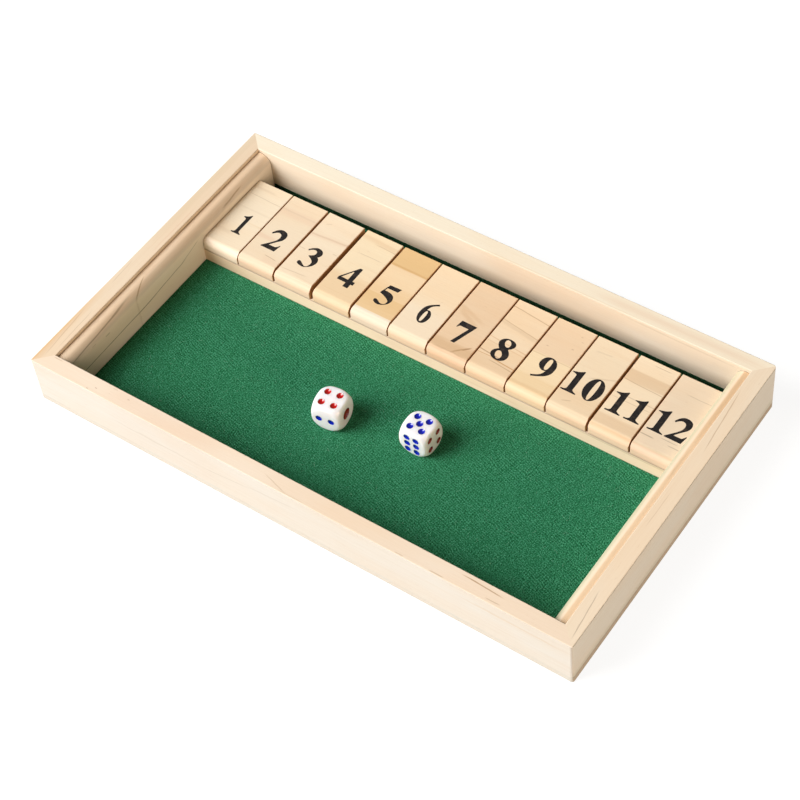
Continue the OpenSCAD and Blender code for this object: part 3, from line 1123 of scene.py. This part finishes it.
def felt_mesh(looks):
    """A thin sheet with a slightly uneven top and frayed edges, turned up against the back rail."""
    low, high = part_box("playing_felt")
    size = high - low
    depth = size.y + looks.turn_up
    mesh = bmesh.new()
    bmesh.ops.create_grid(
        mesh, x_segments=round(size.x / LONG_STEP), y_segments=round(depth / SHORT_STEP), size=0.5
    )
    bmesh.ops.scale(mesh, vec=(size.x, depth, 1.0), verts=mesh.verts)
    bmesh.ops.translate(mesh, vec=((low.x + high.x) / 2, low.y + depth / 2, high.z), verts=mesh.verts)
    thickness = size.z - 2 * looks.unevenness
    foot = high.y - thickness - BEND_RADIUS
    quarter = BEND_RADIUS * math.pi / 2
    for vertex in mesh.verts:
        vertex.co.z -= looks.unevenness * (1.0 + noise.noise(vertex.co / DIP_SIZE))
        if vertex.is_boundary:
            fray = FRAY_DEPTH * abs(noise.noise(vertex.co / FRAY_SIZE))
            vertex.co.x -= math.copysign(fray, vertex.co.x)
            vertex.co.y -= math.copysign(fray, vertex.co.y)
        past = vertex.co.y - foot
        if past > 0:
            turn = min(past, quarter) / BEND_RADIUS
            vertex.co.y = foot + BEND_RADIUS * math.sin(turn)
            vertex.co.z += BEND_RADIUS * (1 - math.cos(turn)) + max(0.0, past - quarter)
    bmesh.ops.recalc_face_normals(mesh, faces=mesh.faces)
    mesh.faces.ensure_lookup_table()
    if mesh.faces[0].normal.z < 0:
        bmesh.ops.reverse_faces(mesh, faces=mesh.faces)
    bmesh.ops.solidify(mesh, geom=mesh.faces, thickness=thickness)
    made = finished(mesh, "felt_sheet")
    made.shade_smooth()
    return made


def fibre_curve(paths, thickness):
    """Many thin threads, each along its own points."""
    curve = bpy.data.curves.new("threads", "CURVE")
    curve.dimensions = "3D"
    curve.bevel_depth = thickness / 2
    curve.bevel_resolution = 0
    curve.use_fill_caps = True
    for path in paths:
        thread = curve.splines.new("POLY")
        thread.points.add(len(path) - 1)
        for point, place in zip(thread.points, path):
            point.co = (*place, 1.0)
    return curve


def lying_fibres(looks):
    """Points of long loose fibres that lie on the felt in front of the ledge."""
    low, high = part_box("playing_felt")
    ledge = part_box("tile_ledge")[0]
    dice = random.Random(12)
    top = high.z + looks.fibre_thickness * 0.3
    steps = 5
    paths = []
    while len(paths) < looks.fibre_count:
        length = dice.uniform(*FIBRE_LENGTHS)
        way = dice.uniform(0, 2 * math.pi)
        bend = dice.uniform(-FIBRE_BEND, FIBRE_BEND)
        x = dice.uniform(low.x + WALL_MARGIN, high.x - WALL_MARGIN)
        y = dice.uniform(low.y + WALL_MARGIN, ledge.y - LEDGE_MARGIN)
        path = []
        for _ in range(steps + 1):
            path.append((x, y, top))
            x += math.cos(way) * length / steps
            y += math.sin(way) * length / steps
            way += bend / steps
        paths.append(path)
    return paths


def standing_fuzz():
    """Points of short fibres along the foot of the ledge, where the felt was cut and pushed up."""
    low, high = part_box("tile_ledge")
    dice = random.Random(5)
    paths = []
    for _ in range(FUZZ_COUNT):
        x = dice.uniform(low.x + 0.002, high.x - 0.002)
        y = low.y - dice.uniform(*FUZZ_PLACES)
        reach = dice.uniform(*FUZZ_LENGTHS)
        lean = dice.uniform(-FUZZ_LEAN, FUZZ_LEAN)
        paths.append([
            (
                x + lean * reach * share,
                y - 0.3 * reach * share * share,
                low.z - 0.0001 + reach * share * 0.8,
            )
            for share in (0.0, 1 / 3, 2 / 3, 1.0)
        ])
    return paths


def threads(name, paths, thickness, material):
    """Many thin threads as one piece, which belongs to the felt and stays with the box."""
    piece = show(name, mesh_from_curve(fibre_curve(paths, thickness), name), material)
    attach(piece, "box")
    return piece


class SHUTBOX_OT_felt(bpy.types.Operator):
    """Lays the green felt with its loose fibres"""

    bl_idname = "shutbox.felt"
    bl_label = "Felt"

    def execute(self, context):
        looks = context.scene.shutbox_felt
        felt = show("felt_sheet", felt_mesh(looks), felt_finish(looks))
        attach(felt, "box")
        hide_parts("playing_felt")
        pale = loose_fibre_finish("loose_fibre", screen(110, 176, 142), screen(170, 206, 184))
        fibres = threads("felt_fibres", lying_fibres(looks), looks.fibre_thickness, pale)
        edge = loose_fibre_finish("edge_fibre", screen(64, 101, 45), screen(138, 147, 82))
        fuzz = threads("felt_edge_fuzz", standing_fuzz(), looks.fibre_thickness * 1.6, edge)
        return {"FINISHED"}


# ---- printed figures ------------------------------------------------------


def oval(x, y, wide, high, fullness=0.55, lean=0.0):
    """A closed oval outline from four smooth points."""
    reach_x = wide * fullness
    reach_y = high * fullness
    return [
        (x + lean * high, y + high, reach_x, 0),
        (x + wide, y, -lean * reach_y, -reach_y),
        (x - lean * high, y - high, -reach_x, 0),
        (x - wide, y, lean * reach_y, reach_y),
    ]


# Outlines in millimetres. Two numbers give a corner. Four give a smooth point, with the reach of
# its handles.
FIGURES = {
    "0": [oval(0, 7.95, 5.2, 7.9), oval(0.15, 7.75, 1.35, 7.1, 0.66)],
    "1": [[
        (1.15, 15.95), (1.65, 15.8), (1.65, 2.2, 0, -0.9), (4.4, 0.55), (4.35, -0.1),
        (-4.4, -0.1), (-4.5, 0.7), (-2.8, 0.9), (-1.65, 2.0, 0, 0.5), (-1.65, 11.6, 0, 0.9),
        (-4.6, 12.9), (-4.6, 13.4), (-1.4, 14.3, 1.1, 0.45),
    ]],
    "2": [[
        (-5.3, 11.3), (-0.5, 15.85, 3.3, 0), (4.15, 11.7, 0, -2.4), (1.75, 6.95, -1.05, -1.15),
        (-1.4, 2.85), (2.5, 2.9, 1.2, 0), (4.65, 5.2), (5.15, 5.0), (4.25, -0.15),
        (-5.3, -0.15), (-5.2, 0.55), (-0.6, 5.95, 1.0, 1.4), (1.1, 10.2, 0, 1.8),
        (-1.4, 13.1, -1.6, 0), (-4.55, 10.7),
    ]],
    "3": [[
        (-4.9, 12.1), (0, 15.4, 2.4, 0), (4.15, 12.1, 0, -1.8), (2.9, 9.3),
        (4.95, 5.6, 0, -3.2), (-0.6, -0.4, -1.9, 0), (-5.0, 1.3, 0, 1.1), (-3.9, 2.8, 0.8, 0),
        (0.5, 0.5, 1.2, 0), (2.35, 4.1, 0, 2.2), (-2.1, 7.9), (-2.0, 8.4),
        (0.75, 11.1, 0, 1.6), (-1.2, 13.3, -1.5, 0), (-4.3, 11.3),
    ]],
    "4": [
        [
            (0.9, 15.75), (2.5, 15.75), (2.5, 5.5), (4.25, 5.5), (4.25, 3.1), (2.75, 3.1),
            (2.8, 0.05), (-0.45, 0.05), (-0.4, 3.1), (-6.2, 3.1), (-6.2, 5.2),
        ],
        [(-0.85, 11.9), (-0.45, 11.4), (-0.4, 5.5), (-4.75, 5.5)],
    ],
    "5": [[
        (-2.85, 14.75), (4.4, 15.05), (3.45, 12.3), (-2.9, 12.2), (-3.4, 10.2),
        (0.2, 9.95, 1.7, -0.3), (4.1, 5.1, 0, -3.2), (-1.7, -0.25, -1.9, 0),
        (-5.1, 1.6, 0, 0.7), (-4.0, 2.8, 1.2, 0), (-0.2, 1.1, 1.4, 0), (2.3, 3.7, 0, 2.0),
        (-5.0, 7.7),
    ]],
    "6": [
        [
            (3.75, 15.2), (3.2, 16.2), (-1.9, 12.3, -1.3, -1.9), (-3.45, 6.0, 0, -3.3),
            (0.4, -0.1, 2.1, 0), (3.65, 5.2, 0, 2.9), (0.9, 9.8, -0.6, 0), (-0.55, 9.5),
            (0.2, 12.2, 0.7, 1.6),
        ],
        oval(0.05, 4.9, 1.0, 4.0, 0.66),
    ],
    "7": [[
        (-5.3, 15.3), (4.0, 15.2), (-0.9, 0), (-3.3, 0), (0.75, 11.75),
        (-4.2, 11.8, -0.8, 0), (-5.5, 10.3), (-6.1, 10.2),
    ]],
    "8": [
        [
            (-1.2, 15.9, 2.6, 0), (3.5, 12.8, 0, -2.1), (1.1, 9.2), (3.85, 4.5, 0, -2.5),
            (-0.6, 0.1, -2.9, 0), (-5.95, 4.0, 0, 2.3), (-3.3, 7.75), (-5.75, 12.0, 0, 2.2),
        ],
        oval(-0.95, 12.6, 1.8, 2.4, 0.55, -0.25),
        oval(-1.5, 3.9, 1.95, 2.7, 0.55, -0.25),
    ],
}
TURNED_HEIGHT = 15.7
# All figures are printed a little wider than drawn, and to the right of their places
FIGURE_SPREAD = 1.03
FIGURE_SHIFT = 0.3
CURVE_STEPS = 10
# Points of an outline that lie closer than this are one
WELD_DISTANCE = 0.000002


class Place(NamedTuple):
    """Where a figure stands on its tile, in millimetres from the tile's middle and front end."""

    figure: str
    x: float
    y: float
    wide: float = 1.0
    high: float = 1.0
    turned: bool = False


PLACES = {
    1: [Place("1", 0.70, 13.4, 0.68, 0.99)],
    2: [Place("2", -0.73, 13.4, 0.97, 0.98)],
    3: [Place("3", -1.09, 12.7)],
    4: [Place("4", 0.07, 12.0)],
    5: [Place("5", -0.32, 11.4)],
    6: [Place("6", -0.35, 12.1)],
    7: [Place("7", -0.02, 9.9)],
    8: [Place("8", 0.30, 11.4)],
    9: [Place("6", 0.32, 12.4, 1.35, 0.98, turned=True)],
    10: [Place("1", -6.90, 12.9), Place("0", 4.20, 12.6)],
    11: [Place("1", -5.83, 12.9), Place("1", 5.42, 12.9)],
    12: [Place("1", -6.21, 13.5), Place("2", 4.89, 13.5)],
}


def figure_curve(figure, thickness):
    """A flat filled curve in the shape of one figure."""
    curve = bpy.data.curves.new("figure", "CURVE")
    curve.dimensions = "2D"
    curve.fill_mode = "BOTH"
    curve.resolution_u = CURVE_STEPS
    curve.extrude = thickness / 2
    for outline in FIGURES[figure]:
        line = curve.splines.new("BEZIER")
        line.use_cyclic_u = True
        line.bezier_points.add(len(outline) - 1)
        for point, values in zip(line.bezier_points, outline):
            middle = Vector((values[0], values[1], 0)) * MM
            reach = Vector((*values[2:4], 0)) * MM if len(values) > 2 else Vector((0, 0, 0))
            point.handle_left_type = "FREE"
            point.handle_right_type = "FREE"
            point.co = middle
            point.handle_left = middle - reach
            point.handle_right = middle + reach
    return curve


def number_mesh(number, thickness):
    """The printed number of one tile, standing on the tile's upper face."""
    low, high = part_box(f"tile_{number}")
    made = bmesh.new()
    for place in PLACES[number]:
        flat = mesh_from_curve(figure_curve(place.figure, thickness), "figure")
        before = len(made.verts)
        made.from_mesh(flat)
        bpy.data.meshes.remove(flat)
        made.verts.ensure_lookup_table()
        new = made.verts[before:]
        if place.turned:
            bmesh.ops.rotate(made, verts=new, matrix=Matrix.Rotation(math.pi, 3, "Z"))
            bmesh.ops.translate(made, verts=new, vec=(0, TURNED_HEIGHT * MM, 0))
        bmesh.ops.scale(made, verts=new, vec=(place.wide * FIGURE_SPREAD, place.high, 1))
        across = (low.x + high.x) / 2 + (place.x + FIGURE_SHIFT) * MM
        at = (across, low.y + place.y * MM, high.z + thickness / 4)
        bmesh.ops.translate(made, verts=new, vec=at)
    bmesh.ops.remove_doubles(made, verts=made.verts, dist=WELD_DISTANCE)
    bmesh.ops.recalc_face_normals(made, faces=made.faces)
    return finished(made, f"figure_{number}")


def ink_finish(looks):
    """Printed ink that lies a little unevenly on the wood."""
    made, tree, shader, where = start_material("ink")
    place = where["Object"]
    patches = mottled(tree, place, 2.2, 2.6)
    grain = use_group(tree, "wood_grain", vector=place, seed=81.0)
    thin = fade(tree, patches, 0.45, 1.0, 0.0, 0.5)
    colour = mixed(tree, thin, looks.charcoal, looks.thin_ink)
    hair = fade(tree, grain["Fibre"], 0.55, 0.75, 0.0, 0.3)
    colour = mixed(tree, hair, colour, looks.thin_ink)
    feed(tree, shader, "Base Color", colour)
    feed(tree, shader, "Roughness", fade(tree, patches, 0.0, 1.0, 0.55, 0.7))
    feed(tree, shader, "Specular IOR Level", 0.2)
    add_bump(tree, shader, grain["Fibre"], 0.00002)
    return made


class SHUTBOX_OT_figures(bpy.types.Operator):
    """Prints the numbers 1 to 12 on the tiles"""

    bl_idname = "shutbox.figures"
    bl_label = "Figures"

    def execute(self, context):
        looks = context.scene.shutbox_ink
        ink = ink_finish(looks)
        for number in range(1, TILE_COUNT + 1):
            piece = show(f"figure_{number}", number_mesh(number, looks.thickness), ink)
            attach(piece, f"tile_{number}_flap")
        return {"FINISHED"}


# ---- dice -----------------------------------------------------------------

PIP_PITCH = 7.3
SIX_ROWS = 5.6
SIX_PITCH = 4.7
PIP_WIDTH = 3.8
PIP_DEPTH = 0.8
ONE_WIDTH = 6.6
ONE_DEPTH = 1.3
CORNER_PIPS = [(x * PIP_PITCH / 2, y * PIP_PITCH / 2) for x in (-1, 1) for y in (-1, 1)]
PIPS = {
    1: [(0, 0)],
    2: [(-PIP_PITCH / 2, 0), (PIP_PITCH / 2, 0)],
    3: [CORNER_PIPS[0], (0, 0), CORNER_PIPS[3]],
    4: CORNER_PIPS,
    5: [*CORNER_PIPS, (0, 0)],
    6: [(x * SIX_ROWS / 2, y * SIX_PITCH) for x in (-1, 1) for y in (-1, 0, 1)],
}
# Turn that brings the upper face round to the side where a value belongs
FACE_TURNS = {1: (0, 90, 0), 2: (90, 0, 0), 3: (180, 0, 0), 4: (0, 0, 0), 5: (-90, 0, 0), 6: (0, -90, 0)}
RED_VALUES = (1, 4)
BLUE_VALUES = (2, 3, 5, 6)
# Turn of each die as a whole: first the roll, then the turn about the upright
DICE_TURNS = {"die_left": ((0, 0, 0), 8.0), "die_right": ((90, 0, 90), 0.0)}
# How far the corners reach from the middle, as a share of half the die's width
CORNER_REACH = 12.0 / 8.5
EDGE_SHARPNESS = 28
FACE_CUTS = 47
# Rings of the balls that hollow the pips and shape their paint, and cuts around them
BALL_RINGS = 48
HOLLOW_CUTS = 40
PAINT_CUTS = 32
# Rims of the dishes turn more sharply than this
SHARP_ANGLE = math.radians(25)


def turned(degrees):
    """A turn given as angles about X, then Y, then Z."""
    return Euler([math.radians(a) for a in degrees]).to_matrix().to_4x4()


def pip_ball(width, depth, around):
    """The ball whose cap is as wide and as deep as a pip, with the die's surface at height 0."""
    radius = (width * width / 4 + depth * depth) / (2 * depth) * MM
    ball = bmesh.new()
    bmesh.ops.create_uvsphere(ball, u_segments=around, v_segments=BALL_RINGS, radius=radius)
    bmesh.ops.translate(ball, verts=ball.verts, vec=(0, 0, radius - depth * MM))
    return ball


def hollow_ball(width, depth):
    """The ball that hollows one pip out."""
    return finished(pip_ball(width, depth, HOLLOW_CUTS), "hollow_ball")


def paint_cap(width, depth, thickness):
    """The dished layer of paint in one pip, with its rim at height 0 and its dish below."""
    cap = pip_ball(width, depth, PAINT_CUTS)
    bmesh.ops.bisect_plane(
        cap,
        geom=[*cap.verts, *cap.edges, *cap.faces],
        plane_co=(0, 0, -thickness * 0.4),
        plane_no=(0, 0, 1),
        clear_outer=True,
    )
    bmesh.ops.recalc_face_normals(cap, faces=cap.faces)
    lowest = min(cap.faces, key=lambda face: face.calc_center_median().z)
    if lowest.normal.z < 0:
        bmesh.ops.reverse_faces(cap, faces=cap.faces)
    bmesh.ops.translate(cap, verts=cap.verts, vec=(0, 0, thickness / 2))
    bmesh.ops.solidify(cap, geom=cap.faces, thickness=thickness)
    return finished(cap, "paint_cap")


def die_room(die):
    """The middle of a die and half its width."""
    low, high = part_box(die)
    return (low + high) / 2, (high.z - low.z) / 2


def pip_mesh(die, values, shape):
    """One shape repeated at all pips of some values on one die."""
    centre, half = die_room(die)
    roll, upright = DICE_TURNS[die]
    whole = Matrix.Translation(centre) @ Matrix.Rotation(math.radians(upright), 4, "Z") @ turned(roll)
    made = bmesh.new()
    for value in values:
        cap = shape(*((ONE_WIDTH, ONE_DEPTH) if value == 1 else (PIP_WIDTH, PIP_DEPTH)))
        for x, y in PIPS[value]:
            before = len(made.verts)
            made.from_mesh(cap)
            made.verts.ensure_lookup_table()
            place = whole @ turned(FACE_TURNS[value]) @ Matrix.Translation((x * MM, y * MM, half))
            bmesh.ops.transform(made, matrix=place, verts=made.verts[before:])
        bpy.data.meshes.remove(cap)
    mesh = finished(made, die + "_pips")
    mesh.shade_smooth()
    return mesh


def die_mesh(die):
    """A cube whose edges and corners are tumbled round, with a dish for each pip."""
    centre, half = die_room(die)
    body = bmesh.new()
    bmesh.ops.create_cube(body, size=2.0)
    bmesh.ops.subdivide_edges(body, edges=body.edges, cuts=FACE_CUTS, use_grid_fill=True)
    for corner in body.verts:
        way = corner.co.normalized()
        flats = sum(abs(c) ** EDGE_SHARPNESS for c in way)
        ball = (1 / CORNER_REACH) ** EDGE_SHARPNESS
        corner.co = way * half / (flats + ball) ** (1 / EDGE_SHARPNESS)
    upright = math.radians(DICE_TURNS[die][1])
    bmesh.ops.rotate(body, verts=body.verts, matrix=Matrix.Rotation(upright, 3, "Z"))
    bmesh.ops.translate(body, verts=body.verts, vec=centre)
    solid = finished(body, die + "_body")
    solid.shade_smooth()
    holder = placed("body", solid)
    balls = placed("balls", pip_mesh(die, PIPS, hollow_ball))
    dishes = holder.modifiers.new("dishes", "BOOLEAN")
    dishes.operation = "DIFFERENCE"
    dishes.solver = "EXACT"
    dishes.object = balls
    made = evaluated_mesh(holder)
    for item in (holder, balls):
        bpy.data.objects.remove(item)
    made.name = die + "_body"
    made.shade_smooth()
    made.set_sharp_from_angle(angle=SHARP_ANGLE)
    return made


# Tints of the white plastic: where it clouds, and the painted warm light on the faces to the right, which
# stand in shade
CLOUDED = (0.985, 0.98, 0.98)
PLASTIC_RIGHT_LIGHT = (1.02, 0.99, 0.93)
# Tints of the paint: where it pooled, and the painted shade on the pips of the faces to the right
POOLED = (0.8, 0.8, 0.8)
PAINT_RIGHT_SHADE = (0.4, 0.4, 0.4)


def plastic_finish(looks):
    """Glossy white plastic with the faintest clouding and polish marks, and painted warm light on the
    faces to the right.
    """
    made, tree, shader, where = start_material("die_plastic")
    place = where["Object"]
    clouds = mottled(tree, place, 5.0, 1.5)
    marks = mottled(tree, place, 0.25, 1.5)
    white = mixed(tree, clouds, looks.plastic, toned(looks.plastic, CLOUDED))
    # Painted warm light on the faces to the right
    right = fade(tree, parts(tree, where["Normal"])[0], 0.50, 0.85)
    feed(tree, shader, "Base Color", mixed(tree, right, white, toned(looks.plastic, PLASTIC_RIGHT_LIGHT)))
    feed(tree, shader, "Roughness", fade(tree, marks, 0.0, 1.0, 0.16, 0.24))
    feed(tree, shader, "Subsurface Weight", 0.8)
    feed(tree, shader, "Subsurface Radius", (0.0050, 0.0042, 0.0038))
    feed(tree, shader, "Subsurface Scale", 1.0)
    feed(tree, shader, "Coat Weight", 0.3)
    feed(tree, shader, "Coat Roughness", 0.06)
    add_bump(tree, shader, marks, 0.000004)
    return made


def paint_finish(name, colour):
    """Glossy enamel that pooled unevenly in the dishes, with painted shade on the pips of the faces to
    the right.
    """
    made, tree, shader, where = start_material(name)
    pool = mottled(tree, where["Object"], 1.1, 2.0)
    enamel = mixed(tree, pool, colour, toned(colour, POOLED))
    # Painted shade on the pips of the faces to the right
    right = fade(tree, parts(tree, where["Normal"])[0], 0.60, 0.85)
    feed(tree, shader, "Base Color", mixed(tree, right, enamel, toned(colour, PAINT_RIGHT_SHADE)))
    feed(tree, shader, "Roughness", fade(tree, pool, 0.0, 1.0, 0.12, 0.20))
    feed(tree, shader, "Specular IOR Level", 0.7)
    feed(tree, shader, "Coat Weight", 0.6)
    feed(tree, shader, "Coat Roughness", 0.08)
    add_bump(tree, shader, pool, 0.00001)
    return made


class SHUTBOX_OT_dice(bpy.types.Operator):
    """Gives the two dice their plastic and paints their pips"""

    bl_idname = "shutbox.dice"
    bl_label = "Dice"

    def execute(self, context):
        looks = context.scene.shutbox_dice
        plastic = plastic_finish(looks)
        paints = (
            ("red", paint_finish("red_paint", looks.red), RED_VALUES),
            ("blue", paint_finish("blue_paint", looks.blue), BLUE_VALUES),
        )

        def paint_layer(width, depth):
            return paint_cap(width, depth, looks.paint_thickness)

        for die in DICE_TURNS:
            body = show(die + "_body", die_mesh(die), plastic)
            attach(body, die + "_loose")
            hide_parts(die)
            for colour, paint, values in paints:
                piece = show(f"{die}_{colour}_pips", pip_mesh(die, values, paint_layer), paint)
                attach(piece, die + "_loose")
        return {"FINISHED"}


# ---- stage ----------------------------------------------------------------


WHITE = (1.0, 1.0, 1.0)
SENSOR_WIDTH = 36.0
# Tint of the dips in the paper
PAPER_TOOTH = (0.985, 0.985, 0.985)
# How far below the box the floor lies
FLOOR_DROP = 0.0001


def floor_finish(colour, glow, seen_glow):
    """Matt translucent paper, lit from below as well as from above."""
    made, tree, shader, where = start_material("paper_floor")
    tooth = mottled(tree, where["Object"], 1.5, 1.0)
    feed(tree, shader, "Base Color", mixed(tree, tooth, colour, toned(colour, PAPER_TOOTH)))
    feed(tree, shader, "Roughness", 0.9)
    feed(tree, shader, "Specular IOR Level", 0.1)
    feed(tree, shader, "Emission Color", WHITE)
    rays = put(tree, "ShaderNodeLightPath")
    shine = fade(tree, rays.outputs["Is Camera Ray"], 0.0, 1.0, glow, seen_glow)
    feed(tree, shader, "Emission Strength", shine)
    return made


class SHUTBOX_OT_stage(bpy.types.Operator):
    """Sets up the camera, the pale floor and the soft studio light"""

    bl_idname = "shutbox.stage"
    bl_label = "Stage"

    def execute(self, context):
        looks = context.scene.shutbox_stage
        scene = context.scene
        eye = bpy.data.cameras.new("camera")
        eye.sensor_width = SENSOR_WIDTH
        eye.lens = looks.lens
        eye.clip_start = 0.05
        eye.clip_end = 20.0
        camera = placed("camera", eye)
        camera.location = looks.camera_place
        camera.rotation_euler = looks.camera_turn
        scene.camera = camera
        scene.view_settings.view_transform = "Standard"

        flat = bmesh.new()
        bmesh.ops.create_grid(flat, x_segments=1, y_segments=1, size=looks.floor_reach)
        bmesh.ops.translate(flat, vec=(0, 0, -FLOOR_DROP), verts=flat.verts)
        paper = floor_finish(looks.floor_colour, looks.floor_glow, looks.floor_seen)
        show("floor", finished(flat, "floor"), paper)

        world = bpy.data.worlds.new("room")
        world.use_nodes = True
        scene.world = world
        tree = world.node_tree
        sky = tree.nodes["Background"]
        rays = put(tree, "ShaderNodeLightPath")
        seen = rays.outputs["Is Camera Ray"]
        feed(tree, sky, "Color", mixed(tree, seen, looks.sky_colour, WHITE))
        feed(tree, sky, "Strength", fade(tree, seen, 0.0, 1.0, looks.sky_strength, 1.0))

        key_reach = (looks.key_width, looks.key_height)
        fill_reach = (looks.fill_size, looks.fill_size)
        for name, power, colour, (width, height), way in (
            ("key_light", looks.key_power, WHITE, key_reach, looks.key_from),
            ("fill_light", looks.fill_power, looks.fill_colour, fill_reach, looks.fill_from),
        ):
            lamp = bpy.data.lights.new(name, "AREA")
            lamp.color = colour
            lamp.shape = "RECTANGLE"
            lamp.size = width
            lamp.size_y = height
            lamp.energy = power
            light = placed(name, lamp)
            towards = Vector(way).normalized()
            light.location = towards * looks.light_distance
            light.rotation_euler = towards.to_track_quat("Z", "Y").to_euler()
        return {"FINISHED"}


# ---- panel and run --------------------------------------------------------


class SHUTBOX_PT_panel(bpy.types.Panel):
    """Lists the pieces of the game and the settings of their finishes"""

    bl_idname = "SHUTBOX_PT_panel"
    bl_label = "Shut the Box"
    bl_space_type = "VIEW_3D"
    bl_region_type = "UI"
    bl_category = "Shut the Box"

    def draw(self, context):
        for operator in OPERATORS:
            self.layout.operator(operator.bl_idname)
        for holder in SETTINGS:
            box = self.layout.box()
            for name in SETTINGS[holder].__annotations__:
                box.prop(getattr(context.scene, holder), name)


SETTINGS = {
    "shutbox_stage": ShutBoxStageSettings,
    "shutbox_wood": ShutBoxWoodSettings,
    "shutbox_felt": ShutBoxFeltSettings,
    "shutbox_ink": ShutBoxInkSettings,
    "shutbox_dice": ShutBoxDiceSettings,
}
OPERATORS = (
    SHUTBOX_OT_stage,
    SHUTBOX_OT_rails,
    SHUTBOX_OT_base_panel,
    SHUTBOX_OT_cheeks,
    SHUTBOX_OT_ledge,
    SHUTBOX_OT_felt,
    SHUTBOX_OT_steelwork,
    SHUTBOX_OT_tiles,
    SHUTBOX_OT_figures,
    SHUTBOX_OT_dice,
)
CLASSES = (*SETTINGS.values(), *OPERATORS, SHUTBOX_PT_panel)


def register():
    for item in CLASSES:
        bpy.utils.register_class(item)
    for holder, kind in SETTINGS.items():
        setattr(bpy.types.Scene, holder, bpy.props.PointerProperty(type=kind))


def unregister():
    for holder in SETTINGS:
        delattr(bpy.types.Scene, holder)
    for item in reversed(CLASSES):
        bpy.utils.unregister_class(item)


def main():
    register()
    for make in (
        make_grain_group,
        make_mark_group,
        make_dark_band_group,
        make_fibre_group,
        make_mottle_group,
    ):
        make()
    bpy.ops.shutbox.stage()
    bpy.ops.shutbox.rails()
    bpy.ops.shutbox.base_panel()
    bpy.ops.shutbox.cheeks()
    bpy.ops.shutbox.ledge()
    bpy.ops.shutbox.felt()
    bpy.ops.shutbox.steelwork()
    bpy.ops.shutbox.tiles()
    bpy.ops.shutbox.figures()
    bpy.ops.shutbox.dice()


if __name__ == "__main__":
    main()
